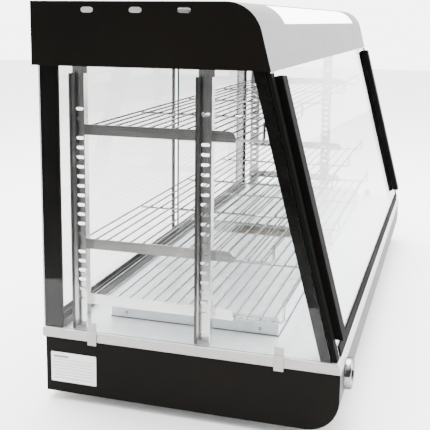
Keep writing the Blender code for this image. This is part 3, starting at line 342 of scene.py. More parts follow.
def steel_finish(name, stretch, dark, light, polish, bump, rim=1.0, metallic=1.0):
    """Steel whose grain runs along the direction that stretch squeezes; rim darkens its glancing shine."""
    finish, tree, shader = new_finish(name, light, polish, metallic)
    shader.inputs["Specular Tint"].default_value = (rim, rim, rim, 1.0)
    grain = put_effect(tree, drawn_grain, {"Stretch": stretch, "Polish": polish, "Dark": (*dark, 1.0),
                                           "Light": (*light, 1.0)})
    wear = put_effect(tree, rubbed_edges, {"Radius": 0.001, "Amount": 0.6})
    worn = blend(tree, wear["Mask"], grain["Colour"], (0.90, 0.90, 0.90, 1.0))
    dent = add(tree, "Bump", {"Height": grain["Height"], "Distance": bump, "Strength": 0.35})
    join_up(tree, worn, shader.inputs["Base Color"])
    join_up(tree, grain["Roughness"], shader.inputs["Roughness"])
    join_up(tree, dent.outputs["Normal"], shader.inputs["Normal"])
    return finish


ALONG_X = (8.0, 1400.0, 1400.0)
ALONG_Y = (1400.0, 8.0, 1400.0)
ALONG_Z = (1400.0, 1400.0, 8.0)
deck_steel = steel_finish("deck_stainless", ALONG_X, (0.80, 0.83, 0.86), (0.93, 0.95, 0.97), 0.30, 0.00002,
                          metallic=0.35)
deck_tree = deck_steel.node_tree
deck_mix = next(node for node in deck_tree.nodes if node.type == "GROUP" and node.node_tree == drawn_grain)
# Painted light and shade: faces turned up take a bright bluish white, and the folded sides, facing out, a
# darker warm grey.
deck_normal = add(deck_tree, "NewGeometry")
deck_axes = add(deck_tree, "SeparateXYZ", {"Vector": deck_normal.outputs["Normal"]})
deck_top_light_share = add(deck_tree, "MapRange", {"Value": deck_axes.outputs["Z"], "From Min": 0.2, "From Max": 0.8})
for shade, shaded_side_tone, lit_top_tone in (("Dark", (0.30, 0.285, 0.27, 1.0), (0.84, 0.88, 0.92, 1.0)),
                                     ("Light", (0.50, 0.485, 0.47, 1.0), (0.94, 0.97, 0.99, 1.0))):
    deck_light_and_shade_tone = blend(deck_tree, deck_top_light_share.outputs["Result"], shaded_side_tone, lit_top_tone)
    join_up(deck_tree, deck_light_and_shade_tone, deck_mix.inputs[shade])
# Painted shade: the apron is the same stainless as the deck, given a far darker tone and a dulled glancing
# shine.
apron_steel = steel_finish("apron_stainless", ALONG_X, (0.17, 0.17, 0.17), (0.26, 0.26, 0.26), 0.42, 0.00003,
                           rim=0.35)
panel_steel = steel_finish("panel_stainless", ALONG_X, (0.42, 0.42, 0.42), (0.56, 0.56, 0.56), 0.32, 0.00003)
dress("deck_plate", deck_steel, 0.0008)
dress("front_apron", apron_steel, 0.0)
dress("base_pan", panel_steel, 0.0)
dress("rear_panel", panel_steel, 0.0003)


# ---- Screws -------------------------------------------------------------------------------------------
# Pan-head machine screws with a cross recess, bright zinc plated, hold the clips, the deck's edges, the
# uprights' tabs, the heater covers and the rear panel.

# Painted shade: the zinc is given a darkish tone and a glancing shine tinted dark, so that each head shows a
# dark rim.
zinc = steel_finish("bright_zinc", (900.0, 900.0, 900.0), (0.16, 0.16, 0.165), (0.44, 0.44, 0.43), 0.18,
                    0.00002, rim=0.2)
HEAD_RINGS = 9
HEAD_STEPS = 32
RECESS_ARM = 0.55
RECESS_WIDTH = 0.14


def head_height(across, up):
    """Height of a screw head, for a radius of one: a low dome with a cross sunk into it."""
    reach = math.hypot(across, up)
    dome = 0.42 * math.sqrt(max(0.0, 1.0 - 0.8 * reach ** 2)) - 0.19
    lying = max(abs(across) / RECESS_ARM, abs(up) / RECESS_WIDTH)
    standing = max(abs(up) / RECESS_ARM, abs(across) / RECESS_WIDTH)
    depth = 0.22 * max(0.0, min(1.0, (1.25 - min(lying, standing)) * 2.5))
    return dome - depth


def screw_set(name, places, facing, radius, body, turn=0.3):
    """Several screw heads in one piece: places are the points where their middles meet the sheet."""
    shape = bmesh.new()
    upright = Vector(facing).to_track_quat("Z", "Y")
    for number, spot in enumerate(places):
        spin = Quaternion((0.0, 0.0, 1.0), turn + number * 0.7)
        rings = []
        for ring in range(1, HEAD_RINGS + 1):
            reach = ring / HEAD_RINGS
            circle = []
            for step in range(HEAD_STEPS):
                angle = 2 * math.pi * step / HEAD_STEPS
                across, up = reach * math.cos(angle), reach * math.sin(angle)
                point = Vector((across, up, head_height(across, up))) * radius
                circle.append(shape.verts.new(Vector(spot) + upright @ (spin @ point)))
            rings.append(circle)
        sunk = Vector((0.0, 0.0, head_height(0.0, 0.0) * radius))
        middle = shape.verts.new(Vector(spot) + upright @ sunk)
        foot = [shape.verts.new(vert.co - upright @ Vector((0.0, 0.0, radius * 0.12))) for vert in rings[-1]]
        rings.append(foot)
        for step in range(HEAD_STEPS):
            after = (step + 1) % HEAD_STEPS
            shape.faces.new((middle, rings[0][step], rings[0][after]))
            for inner, outer in zip(rings, rings[1:]):
                shape.faces.new((inner[step], outer[step], outer[after], inner[after]))
        shape.faces.new(list(reversed(foot)))
    made = new_piece(name, shape, zinc, smooth=True)
    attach(made, body)
    return made


CLIP_SCREW_RISE = 0.0100
CLIP_SCREW_SUNK = 0.0012
CLIP_SCREW_RADIUS = 0.0036
for end_name, side in SIDES:
    spots = []
    for row in ("front", "rear"):
        clip_low, clip_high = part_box(f"glass_clip_{row}_{end_name}")
        outside = clip_high.x if side > 0 else clip_low.x
        spots.append((outside - side * CLIP_SCREW_SUNK, (clip_low.y + clip_high.y) / 2,
                      clip_low.z + CLIP_SCREW_RISE))
    screw_set(f"clip_screws_{end_name}", spots, (side, 0, 0), CLIP_SCREW_RADIUS, "case")
deck_low, deck_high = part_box("deck_plate")
EDGE_SCREW_DEPTH = 0.2614
EDGE_SCREW_RISE = 0.0045
EDGE_SCREW_SUNK = 0.0004
EDGE_SCREW_RADIUS = 0.0022
for end_name, side in SIDES:
    outside = deck_high.x if side > 0 else deck_low.x
    spot = (outside - side * EDGE_SCREW_SUNK, deck_low.y + EDGE_SCREW_DEPTH, deck_low.z + EDGE_SCREW_RISE)
    screw_set(f"deck_edge_screws_{end_name}", [spot], (side, 0, 0), EDGE_SCREW_RADIUS, "case")
PANEL_SCREWS_ACROSS = (-0.575, -0.29, 0.0, 0.29, 0.575)
PANEL_SCREW_RADIUS = 0.0034
panel_low, panel_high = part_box("rear_panel")
spots = [(across, panel_high.y - 0.0002, rise) for across in PANEL_SCREWS_ACROSS
         for rise in (panel_low.z + 0.010, panel_high.z - 0.022)]
screw_set("rear_panel_screws", spots, (0, 1, 0), PANEL_SCREW_RADIUS, "case")


# ---- Rating label -------------------------------------------------------------------------------------
# A white polyester label stuck to the left end panel. It is left blank but for a grey heading bar and
# thin ruled lines, printed on its face.

def mottled_finish(name, colour, roughness, scale, detail, dark, light, by_size=False):
    """Card, print or plastic whose colour wanders between two close tones, returned with its pattern."""
    finish, tree, shader = new_finish(name, colour, roughness)
    pattern = add(tree, "TexNoise", {"Scale": scale, "Detail": detail})
    if by_size:
        join_up(tree, add(tree, "TexCoord").outputs["Object"], pattern.inputs["Vector"])
    tone = blend(tree, pattern.outputs["Fac"], (*dark, 1.0), (*light, 1.0))
    join_up(tree, tone, shader.inputs["Base Color"])
    return finish, tree, shader, pattern.outputs["Fac"]


label_white = mottled_finish("label_white", (0.88, 0.88, 0.87), 0.38, 300.0, 3.0, (0.84, 0.84, 0.83),
                             (0.92, 0.92, 0.91))[0]
label_ink = mottled_finish("label_ink", (0.22, 0.22, 0.23), 0.5, 900.0, 3.0, (0.16, 0.16, 0.17),
                           (0.34, 0.34, 0.35))[0]
LABEL_SIZE = (0.080, 0.0505)
LABEL_CORNER = 0.0015
LABEL_THICKNESS = 0.00015
LABEL_FROM_REAR = 0.0486
LABEL_RISE = 0.0428


def flat_plate(name, outline, thickness, finish):
    """A thin plate in its own XY plane, from its outline's points."""
    shape = bmesh.new()
    shape.faces.new([shape.verts.new((across, up, 0.0)) for across, up in outline])
    lifted = bmesh.ops.extrude_face_region(shape, geom=shape.faces[:])
    moved = [item for item in lifted["geom"] if isinstance(item, bmesh.types.BMVert)]
    bmesh.ops.translate(shape, vec=Vector((0, 0, thickness)), verts=moved)
    bmesh.ops.recalc_face_normals(shape, faces=shape.faces)
    return new_piece(name, shape, finish)


def rounded_outline(width, height, radius, steps=5):
    """The corners of a rectangle, rounded, as a ring of points."""
    points = []
    for across, up, first in ((1, 1, 0), (-1, 1, 90), (-1, -1, 180), (1, -1, 270)):
        for step in range(steps + 1):
            angle = math.radians(first + 90 * step / steps)
            points.append((across * (width / 2 - radius) + radius * math.cos(angle),
                           up * (height / 2 - radius) + radius * math.sin(angle)))
    return points


end_low, end_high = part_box("base_end_panel_left")
LEFT_FACE = Matrix(((0, 0, -1), (-1, 0, 0), (0, 1, 0))).to_euler()
label = flat_plate("rating_label", rounded_outline(*LABEL_SIZE, LABEL_CORNER), LABEL_THICKNESS, label_white)
label.rotation_euler = LEFT_FACE
label.location = (end_low.x, end_high.y - LABEL_FROM_REAR, end_low.z + LABEL_RISE)
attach(label, "case")
LABEL_RULES = 7
RULE_PITCH = 0.0052
HEADING_RISE = 0.018
HEADING = (0.0036, 0.026, -0.022)
RULE = (0.0007, 0.070, 0.0)
INK_LIFT = 0.00004
ink = bmesh.new()
for row in range(LABEL_RULES + 1):
    up = HEADING_RISE - row * RULE_PITCH
    tall, wide, middle = HEADING if row == 0 else RULE
    bar = bmesh.ops.create_grid(ink, x_segments=1, y_segments=1, size=0.5)["verts"]
    bmesh.ops.scale(ink, vec=Vector((wide, tall, 1.0)), verts=bar)
    bmesh.ops.translate(ink, vec=Vector((middle, up, LABEL_THICKNESS + INK_LIFT)), verts=bar)
rules = new_piece("label_rules", ink, label_ink)
rules.rotation_euler = LEFT_FACE
rules.location = label.location
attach(rules, "case")


# ---- Feet ---------------------------------------------------------------------------------------------
# Four turned rubber feet, each held by a screw up through its recess into the base pan.

foot_rubber = sprayed_finish("foot_rubber", (0.018, 0.018, 0.018), (0.032, 0.031, 0.030),
                             (0.06, 0.06, 0.06), 0.72, 1500.0, 0.00015)[0]
for end_name in ENDS:
    for row in ("front", "rear"):
        dress(f"foot_{row}_{end_name}", foot_rubber, 0.0008)


# ---- Dial thermometer ---------------------------------------------------------------------------------
# A push-in dial thermometer in the apron: a chromed bezel and a white dial with a printed scale and a thin
# pointer on a centre boss. Its can goes back through the apron.

def turned_piece(name, profile, centre, facing, finish, steps=64, flutes=0, flute_depth=0.0, fluted=()):
    """A turned shape from (radius, distance) pairs; the fluted rings are waved in and out."""
    shape = bmesh.new()
    upright = Vector(facing).to_track_quat("Z", "Y")
    rings = []
    for index, (radius, along) in enumerate(profile):
        ring = []
        for step in range(steps):
            angle = 2 * math.pi * step / steps
            wave = flute_depth * (0.5 + 0.5 * math.cos(angle * flutes)) if index in fluted else 0.0
            point = Vector(((radius - wave) * math.cos(angle), (radius - wave) * math.sin(angle), along))
            ring.append(shape.verts.new(upright @ point))
        rings.append(ring)
    for inner, outer in zip(rings, rings[1:]):
        for step in range(steps):
            after = (step + 1) % steps
            shape.faces.new((inner[step], inner[after], outer[after], outer[step]))
    if profile[0] != profile[-1]:
        shape.faces.new(list(reversed(rings[0])))
        shape.faces.new(rings[-1])
    bmesh.ops.remove_doubles(shape, verts=shape.verts, dist=0.000002)
    bmesh.ops.recalc_face_normals(shape, faces=shape.faces)
    return new_piece(name, shape, finish, smooth=True, place=centre)


chrome = steel_finish("bezel_chrome", (300.0, 300.0, 300.0), (0.20, 0.20, 0.205), (0.32, 0.32, 0.325), 0.09,
                      0.00001, rim=0.2)
dial_low, dial_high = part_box("thermometer")
r = (dial_high.x - dial_low.x) / 2
dial_centre = Vector(((dial_low.x + dial_high.x) / 2, dial_low.y, (dial_low.z + dial_high.z) / 2))
TO_FRONT = (0, -1, 0)
TO_REAR = (0, 1, 0)
CAN_BACK = -0.0318
AXIS_HOLE = 0.0002
bezel_profile = [(r * 0.84, -0.0034), (r * 0.86, -0.0012), (r * 0.885, -0.0002), (r * 0.93, 0.0),
                 (r * 0.965, -0.0006), (r * 0.99, -0.0022), (r, -0.0042), (r * 0.998, -0.0090), (r, -0.0098),
                 (r * 0.85, -0.0098), (r * 0.845, -0.031), (r * 0.80, CAN_BACK), (r * 0.02, CAN_BACK),
                 (AXIS_HOLE, -0.0310), (r * 0.78, -0.0310), (r * 0.80, -0.0060), (r * 0.84, -0.0034)]
bezel = turned_piece("thermometer_bezel", bezel_profile, dial_centre, TO_FRONT, chrome)
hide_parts("thermometer")
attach(bezel, "case")

dial_white = mottled_finish("dial_white", (0.86, 0.86, 0.84), 0.45, 500.0, 2.0, (0.82, 0.82, 0.80),
                            (0.90, 0.90, 0.88))[0]
DIAL_BACK = 0.0045
PRINT_LIFT = 0.00012
face = turned_piece("thermometer_dial",
                    [(AXIS_HOLE, -DIAL_BACK), (r * 0.78, -DIAL_BACK), (r * 0.83, -DIAL_BACK + 0.0006),
                     (r * 0.83, -DIAL_BACK - 0.0006), (AXIS_HOLE, -DIAL_BACK - 0.0006)],
                    dial_centre, TO_FRONT, dial_white)
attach(face, "case")

TICKS = 25
SCALE_SWEEP = 270.0
print_black = sprayed_finish("printed_black", (0.012, 0.012, 0.013), (0.03, 0.03, 0.03), (0.05, 0.05, 0.05),
                             0.5, 2000.0, 0.00001)[0]


def dial_print(name, radius, ticks, long_every, sweep, length, depth, finish, centre, facing):
    """Scale strokes round a dial, every few of them longer and wider."""
    shape = bmesh.new()
    upright = Vector(facing).to_track_quat("Z", "Y")
    for tick in range(ticks):
        angle = math.radians(90 + sweep / 2 - sweep * tick / (ticks - 1))
        bold = tick % long_every == 0
        reach = length * (1.7 if bold else 1.0)
        wide = length * (0.28 if bold else 0.15)
        stroke = bmesh.ops.create_grid(shape, x_segments=1, y_segments=1, size=0.5)["verts"]
        bmesh.ops.scale(shape, vec=Vector((reach, wide, 1.0)), verts=stroke)
        bmesh.ops.translate(shape, vec=Vector((radius - reach / 2, 0.0, depth)), verts=stroke)
        bmesh.ops.rotate(shape, cent=Vector(), matrix=Matrix.Rotation(angle, 3, "Z"), verts=stroke)
    bmesh.ops.transform(shape, matrix=upright.to_matrix().to_4x4(), verts=shape.verts)
    made = new_piece(name, shape, finish, place=centre)
    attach(made, "case")
    return made


dial_print("thermometer_scale", r * 0.76, TICKS, 4, SCALE_SWEEP, 0.0016, -DIAL_BACK + PRINT_LIFT, print_black,
           dial_centre, TO_FRONT)


def dial_numbers(name, numbers, radius, sweep, height, depth, finish, centre, facing):
    """Numbers spaced evenly round a dial, upright, as filled outlines turned into one mesh."""
    upright = Vector(facing).to_track_quat("Z", "Y")
    shape = bmesh.new()
    for index, number in enumerate(numbers):
        words = bpy.data.curves.new(name, "FONT")
        words.body = str(number)
        words.size = height
        words.align_x = "CENTER"
        words.align_y = "CENTER"
        holder = bpy.data.objects.new(name + "_text", words)
        bpy.context.scene.collection.objects.link(holder)
        bpy.context.view_layer.update()
        mesh = bpy.data.meshes.new_from_object(holder.evaluated_get(bpy.context.evaluated_depsgraph_get()))
        angle = math.radians(90 + sweep / 2 - sweep * index / (len(numbers) - 1))
        mesh.transform(Matrix.Translation((radius * math.cos(angle), radius * math.sin(angle), depth)))
        shape.from_mesh(mesh)
        bpy.data.objects.remove(holder, do_unlink=True)
        bpy.data.meshes.remove(mesh)
    bmesh.ops.transform(shape, matrix=upright.to_matrix().to_4x4(), verts=shape.verts)
    made = new_piece(name, shape, finish, place=centre)
    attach(made, "case")
    return made


dial_numbers("thermometer_numbers", (0, 20, 40, 60, 80, 100, 120), r * 0.55, SCALE_SWEEP, 0.0034,
             -DIAL_BACK + PRINT_LIFT, print_black, dial_centre, TO_FRONT)
POINTER_TURN = math.radians(118)
pointer = bmesh.new()
for wide, tall, middle in ((0.0005, 0.0155, 0.0045), (0.0016, 0.0050, -0.0040)):
    hand = bmesh.ops.create_cube(pointer, size=1.0)["verts"]
    bmesh.ops.scale(pointer, vec=Vector((wide, tall, 0.0003)), verts=hand)
    bmesh.ops.translate(pointer, vec=Vector((0.0, middle, -DIAL_BACK + 0.0009)), verts=hand)
bmesh.ops.rotate(pointer, cent=Vector(), matrix=Matrix.Rotation(POINTER_TURN, 3, "Z"), verts=pointer.verts)
bmesh.ops.transform(pointer, matrix=Vector(TO_FRONT).to_track_quat("Z", "Y").to_matrix().to_4x4(),
                    verts=pointer.verts)
pointer = new_piece("thermometer_pointer", pointer, print_black, place=dial_centre)
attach(pointer, "case")
boss = turned_piece("thermometer_boss",
                    [(0.0001, -DIAL_BACK + 0.0018), (0.0012, -DIAL_BACK + 0.0017),
                     (0.0016, -DIAL_BACK + 0.0012), (0.0016, -DIAL_BACK), (0.0001, -DIAL_BACK)],
                    dial_centre, TO_FRONT, chrome, 24)
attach(boss, "case")


# ---- Thermostat knob ----------------------------------------------------------------------------------
# A moulded phenolic knob with finger flutes and a white pointer line, pushed on the thermostat's shaft,
# in front of a printed scale on the rear panel.

knob_plastic = sprayed_finish("moulded_black", (0.010, 0.010, 0.011), (0.020, 0.020, 0.020),
                              (0.05, 0.05, 0.05), 0.36, 1700.0, 0.00006)[0]
PANEL_GAP = 0.0003
knob_low, knob_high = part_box("thermostat_knob")
knob_centre = Vector(((knob_low.x + knob_high.x) / 2, panel_high.y + PANEL_GAP,
                      (knob_low.z + knob_high.z) / 2))
knob_proud = knob_high.y - knob_centre.y
k = (knob_high.x - knob_low.x) / 2
SHAFT_RADIUS = 0.0040
SHAFT_END = -0.0118
KNOB_FLUTES = 20
FLUTE_DEPTH = 0.0007
knob_profile = [(AXIS_HOLE, knob_proud - 0.0008), (k * 0.50, knob_proud - 0.0008), (k * 0.54, knob_proud),
                (k * 0.62, knob_proud), (k * 0.68, knob_proud - 0.0008), (k * 0.71, knob_proud - 0.0026),
                (k * 0.735, 0.0075), (k * 0.76, 0.0052), (k * 0.90, 0.0040), (k * 0.97, 0.0030),
                (k * 0.995, 0.0018), (k * 0.995, 0.0004), (k * 0.95, 0.0001), (SHAFT_RADIUS, 0.0001),
                (SHAFT_RADIUS, SHAFT_END), (AXIS_HOLE, SHAFT_END)]
knob = turned_piece("knob_body", knob_profile, knob_centre, TO_REAR, knob_plastic, 120, KNOB_FLUTES,
                    FLUTE_DEPTH, (5, 6))
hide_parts("thermostat_knob")
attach(knob, "knob")
line_white = mottled_finish("printed_white", (0.85, 0.85, 0.83), 0.5, 1200.0, 2.0, (0.78, 0.78, 0.76),
                            (0.90, 0.90, 0.88))[0]
mark = bmesh.new()
bmesh.ops.create_cube(mark, size=1.0)
bmesh.ops.scale(mark, vec=Vector((0.0011, 0.0003, 0.0052)), verts=mark.verts)
bmesh.ops.translate(mark, vec=Vector((0.0, 0.0, k * 0.38)), verts=mark.verts)
mark = new_piece("knob_mark", mark, line_white, place=knob_centre + Vector((0.0, knob_proud - 0.0007, 0.0)))
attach(mark, "knob")
plate_face = knob_centre - Vector((0.0, 0.0002, 0.0))
PANEL_PRINT_LIFT = 0.00005
dial_print("knob_scale", k * 1.24, 28, 9, SCALE_SWEEP, 0.0020, PANEL_PRINT_LIFT, print_black, plate_face,
           TO_REAR)
dial_numbers("knob_numbers", (0, 30, 60, 90), k * 1.45, SCALE_SWEEP, 0.0052, PANEL_PRINT_LIFT, print_black,
             plate_face, TO_REAR)


# ---- Rocker switches ----------------------------------------------------------------------------------
# Two snap-in rocker switches in the rear panel, for the heaters and for the lamp. Each rocker is gloss
# black with a moulded bar and ring, and clicks in a black frame.

def frame_ring(shape, outer, inner, thickness, centre, facing):
    """A rectangular frame with a hole, its face turned to facing."""
    turned = Vector(facing).to_track_quat("Z", "Y")
    corners = ((-1, -1), (1, -1), (1, 1), (-1, 1))
    loops = []
    for size, height in ((outer, 0.0), ((outer[0] - 0.0008, outer[1] - 0.0008), thickness),
                         ((inner[0] + 0.0006, inner[1] + 0.0006), thickness), (inner, 0.0)):
        points = [Vector((a * size[0] / 2, b * size[1] / 2, height)) for a, b in corners]
        loops.append([shape.verts.new(Vector(centre) + turned @ point) for point in points])
    for near, far in zip(loops, loops[1:] + loops[:1]):
        for step in range(4):
            after = (step + 1) % 4
            shape.faces.new((near[step], near[after], far[after], far[step]))


FRAME_OUTER = (0.0172, 0.0232)
FRAME_INNER = (0.0112, 0.0176)
FRAME_PROUD = 0.0016
ROCKER_TILT = Quaternion((1.0, 0.0, 0.0), -math.radians(8.0))
SIGN_RINGS = (0.0014, 0.0009)
SIGN_STEPS = 24
for switch_name, body in (("power_switch", "power_rocker"), ("light_switch", "light_rocker")):
    dress(switch_name, knob_plastic, 0.0005)
    rocker_low, rocker_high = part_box(switch_name)
    centre = Vector(((rocker_low.x + rocker_high.x) / 2, panel_high.y, (rocker_low.z + rocker_high.z) / 2))
    ring = bmesh.new()
    frame_ring(ring, FRAME_OUTER, FRAME_INNER, FRAME_PROUD, centre, TO_REAR)
    surround = new_piece(f"{switch_name}_frame", ring, knob_plastic)
    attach(surround, "case")
    pivot = Vector((centre.x, panel_high.y + PANEL_GAP, centre.z))
    signs = bmesh.new()
    bar = bmesh.ops.create_cube(signs, size=1.0)["verts"]
    bmesh.ops.scale(signs, vec=Vector((0.0006, 0.0002, 0.0030)), verts=bar)
    bmesh.ops.translate(signs, vec=Vector((0.0, 0.00235, 0.0046)), verts=bar)
    loops = []
    for radius in SIGN_RINGS:
        angles = [2 * math.pi * step / SIGN_STEPS for step in range(SIGN_STEPS)]
        loops.append([signs.verts.new((radius * math.cos(angle), 0.00250, -0.0048 + radius * math.sin(angle)))
                      for angle in angles])
    for step in range(SIGN_STEPS):
        after = (step + 1) % SIGN_STEPS
        signs.faces.new((loops[0][step], loops[0][after], loops[1][after], loops[1][step]))
    bmesh.ops.rotate(signs, cent=Vector(), matrix=ROCKER_TILT.to_matrix(), verts=signs.verts)
    signs = new_piece(f"{switch_name}_signs", signs, line_white, place=pivot)
    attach(signs, body)


# ---- Cable gland --------------------------------------------------------------------------------------
# A nylon gland in the rear panel: a hexagon body, a ribbed dome nut and an open bore for the supply cord.

gland_low, gland_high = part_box("cable_gland")
gland_centre = Vector(((gland_low.x + gland_high.x) / 2, panel_high.y + PANEL_GAP,
                       (gland_low.z + gland_high.z) / 2))
GLAND_BORE = 0.0042
g = (gland_high.x - gland_low.x) / 2
gland_proud = gland_high.y - gland_centre.y
nut_profile = [(GLAND_BORE, gland_proud), (g * 0.52, gland_proud), (g * 0.66, gland_proud - 0.0012),
               (g * 0.84, gland_proud - 0.0050), (g * 0.88, gland_proud - 0.0070), (g * 0.88, 0.0072),
               (g * 0.84, 0.0070), (GLAND_BORE, 0.0070), (GLAND_BORE, gland_proud)]
nut = turned_piece("gland_nut", nut_profile, gland_centre, TO_REAR, knob_plastic, 96, 16, 0.0006, (3, 4, 5))
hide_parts("cable_gland")
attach(nut, "case")
body_profile = [(GLAND_BORE, 0.0066), (g * 0.90, 0.0066), (g * 0.995, 0.0056), (g * 0.995, 0.0001),
                (g * 0.71, 0.0001), (g * 0.71, -0.0098), (GLAND_BORE, -0.0098), (GLAND_BORE, 0.0066)]
hexagon = turned_piece("gland_body", body_profile, gland_centre, TO_REAR, knob_plastic, 6)
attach(hexagon, "case")


# ---- Heating ------------------------------------------------------------------------------------------
# Two folded stainless covers screwed down over tubular elements, with a lift-out water pan between them. A
# thin dark bead laid round the foot of each cover is painted shadow under its edge.

# Painted reflection: the covers' stainless is tinted a bright bluish white.
cover_steel = steel_finish("cover_stainless", ALONG_X, (0.74, 0.80, 0.84), (0.88, 0.93, 0.96), 0.26, 0.00002,
                           metallic=0.4)
pan_steel = steel_finish("pan_stainless", ALONG_Y, (0.62, 0.60, 0.57), (0.80, 0.78, 0.75), 0.16, 0.00002)
heater_metal, heater_tree, heater_shader = new_finish("heat_darkened", (0.20, 0.16, 0.13), 0.42, 1.0)
heater_grain = put_effect(heater_tree, drawn_grain,
                          {"Stretch": (120.0, 500.0, 500.0), "Polish": 0.38,
                           "Dark": (0.10, 0.075, 0.06, 1.0), "Light": (0.30, 0.24, 0.20, 1.0)})
heater_dent = add(heater_tree, "Bump",
                  {"Height": heater_grain["Height"], "Distance": 0.0001, "Strength": 0.4})
join_up(heater_tree, heater_grain["Colour"], heater_shader.inputs["Base Color"])
join_up(heater_tree, heater_grain["Roughness"], heater_shader.inputs["Roughness"])
join_up(heater_tree, heater_dent.outputs["Normal"], heater_shader.inputs["Normal"])
dress("water_pan", pan_steel, 0.0003)
dark_seal_and_shadow = sprayed_finish("silicone_seal_and_shadow", (0.030, 0.030, 0.031), (0.05, 0.05, 0.05), (0.07, 0.07, 0.07),
                          0.5, 800.0, 0.00008)[0]
SHADOW_BEAD = 0.0016
HEATER_SCREW_RISE = 0.009
SMALL_SCREW_RADIUS = 0.0030


def lay_wires(name, routes, radius, finish, body, resolution=3):
    """Round wires along open routes, all in one piece, with closed ends."""
    curve = bpy.data.curves.new(name, "CURVE")
    curve.dimensions = "3D"
    curve.bevel_depth = 1.0
    curve.bevel_resolution = resolution
    curve.use_fill_caps = True
    for route, size in zip(routes, radius):
        spline = curve.splines.new("POLY")
        spline.points.add(len(route) - 1)
        for point, spot in zip(spline.points, route):
            point.co = (*spot, 1.0)
            point.radius = size
        spline.use_smooth = True
    curve.materials.append(finish)
    made = bpy.data.objects.new(name, curve)
    bpy.context.scene.collection.objects.link(made)
    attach(made, body)
    return made


for end_name, side in SIDES:
    dress(f"heater_cover_{end_name}", cover_steel, 0.0)
    dress(f"heating_element_{end_name}", heater_metal, 0.0)
    low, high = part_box(f"heater_cover_{end_name}")
    # Painted shadow: this dark bead round the cover's foot stands in for the shadow line under its edge.
    out = SHADOW_BEAD * 0.4
    foot = low.z + SHADOW_BEAD * 0.45
    ring = [(low.x - out, low.y - out, foot), (high.x + out, low.y - out, foot),
            (high.x + out, high.y + out, foot), (low.x - out, high.y + out, foot),
            (low.x - out, low.y - out, foot)]
    shadow_bead = lay_wires(f"heater_shadow_bead_{end_name}", [ring], [SHADOW_BEAD / 2], dark_seal_and_shadow, "case")
    outer = high.x if side > 0 else low.x
    rise = low.z + HEATER_SCREW_RISE
    screw_set(f"heater_screws_outer_{end_name}",
              [(outer, low.y + 0.030, rise), (outer, high.y - 0.027, rise)],
              (side, 0, 0), SMALL_SCREW_RADIUS, "case")
    screw_set(f"heater_screws_front_{end_name}", [(x, low.y, rise) for x in (low.x + 0.05, high.x - 0.05)],
              TO_FRONT, SMALL_SCREW_RADIUS, "case")


# ---- Glass --------------------------------------------------------------------------------------------
# Toughened float glass: two end panes outside the posts, one sloping front pane standing in the channel and
# two sliding panes behind. Faces carry faint wiping marks and a light grey that is deepened on the end and
# door panes as painted shade; the ground edges look sea green.
# Black strips cover the front pane's upright edges, and steel clips hold the end panes to the deck's edge.

pane_marks, start, end = effect("pane_marks", [("Facing", "Vector", (1.0, 0.0, 0.0))],
                                [("Edge", "Float"), ("Roughness", "Float"), ("Height", "Float")])
surface = add(pane_marks, "NewGeometry")
across = add(pane_marks, "VectorMath", {0: surface.outputs["Normal"], 1: start["Facing"]},
             operation="DOT_PRODUCT")
size = add(pane_marks, "Math", {0: across.outputs["Value"]}, operation="ABSOLUTE")
edge = add(pane_marks, "MapRange", {"Value": size.outputs["Value"], "From Min": 0.90, "From Max": 0.55})
place = add(pane_marks, "TexCoord")
wipe = add(pane_marks, "TexNoise", {"Vector": place.outputs["Object"], "Scale": 11.0, "Detail": 6.0,
                                    "Distortion": 1.2})
haze = add(pane_marks, "MapRange", {"Value": wipe.outputs["Fac"], "From Min": 0.55, "From Max": 0.85,
                                    "To Min": 0.0, "To Max": 0.05})
GROUND_EDGE_ROUGHNESS = 0.35
ground = add(pane_marks, "Math", {0: edge.outputs["Result"], 1: GROUND_EDGE_ROUGHNESS}, operation="MULTIPLY")
dull = add(pane_marks, "Math", {0: haze.outputs["Result"], 1: ground.outputs["Value"]}, operation="MAXIMUM")
join_up(pane_marks, edge.outputs["Result"], end["Edge"])
join_up(pane_marks, dull.outputs["Value"], end["Roughness"])
join_up(pane_marks, wipe.outputs["Fac"], end["Height"])


SEA_GREEN = (0.01, 0.075, 0.05, 1.0)
GLASS_IOR = 1.25


def glass_finish(name, facing, glass_and_shade_tone):
    """Glass that lets lamp light through, tinted green on the edges square to its face; its faces take a grey
    tone that is partly painted shade.
    """
    finish, tree, shader = new_finish(name, glass_and_shade_tone, 0.0)
    shader.inputs["Transmission Weight"].default_value = 1.0
    shader.inputs["IOR"].default_value = GLASS_IOR
    marks = put_effect(tree, pane_marks, {"Facing": facing})
    tint = blend(tree, marks["Edge"], (*glass_and_shade_tone, 1.0), SEA_GREEN)
    join_up(tree, tint, shader.inputs["Base Color"])
    join_up(tree, marks["Roughness"], shader.inputs["Roughness"])
    path = add(tree, "LightPath")
    clear = add(tree, "BsdfTransparent", {"Color": (0.95, 0.97, 0.96, 1.0)})
    either = add(tree, "MixShader", {0: path.outputs["Is Shadow Ray"], 1: shader.outputs["BSDF"],
                                     2: clear.outputs["BSDF"]})
    join_up(tree, either.outputs["Shader"], tree.nodes["Material Output"].inputs["Surface"])
    return finish


front_low, front_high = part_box("front_glass")
front_rise = front_high.z - front_low.z
front_run = front_high.y - front_low.y
front_facing = Vector((0.0, -front_rise, front_run)).normalized()
# Painted shade: the end panes, and more so the door panes, are tinted a deeper grey than the front pane.
end_glass = glass_finish("end_pane_glass", (1.0, 0.0, 0.0), (0.85, 0.855, 0.85))
front_glass = glass_finish("front_pane_glass", front_facing, (0.94, 0.95, 0.945))
door_glass = glass_finish("door_pane_glass", (0.0, 1.0, 0.0), (0.76, 0.77, 0.765))
for end_name in ENDS:
    dress(f"end_glass_{end_name}", end_glass, 0.0)
    dress(f"rear_door_{end_name}", door_glass, 0.0)
dress("front_glass", front_glass, 0.0)

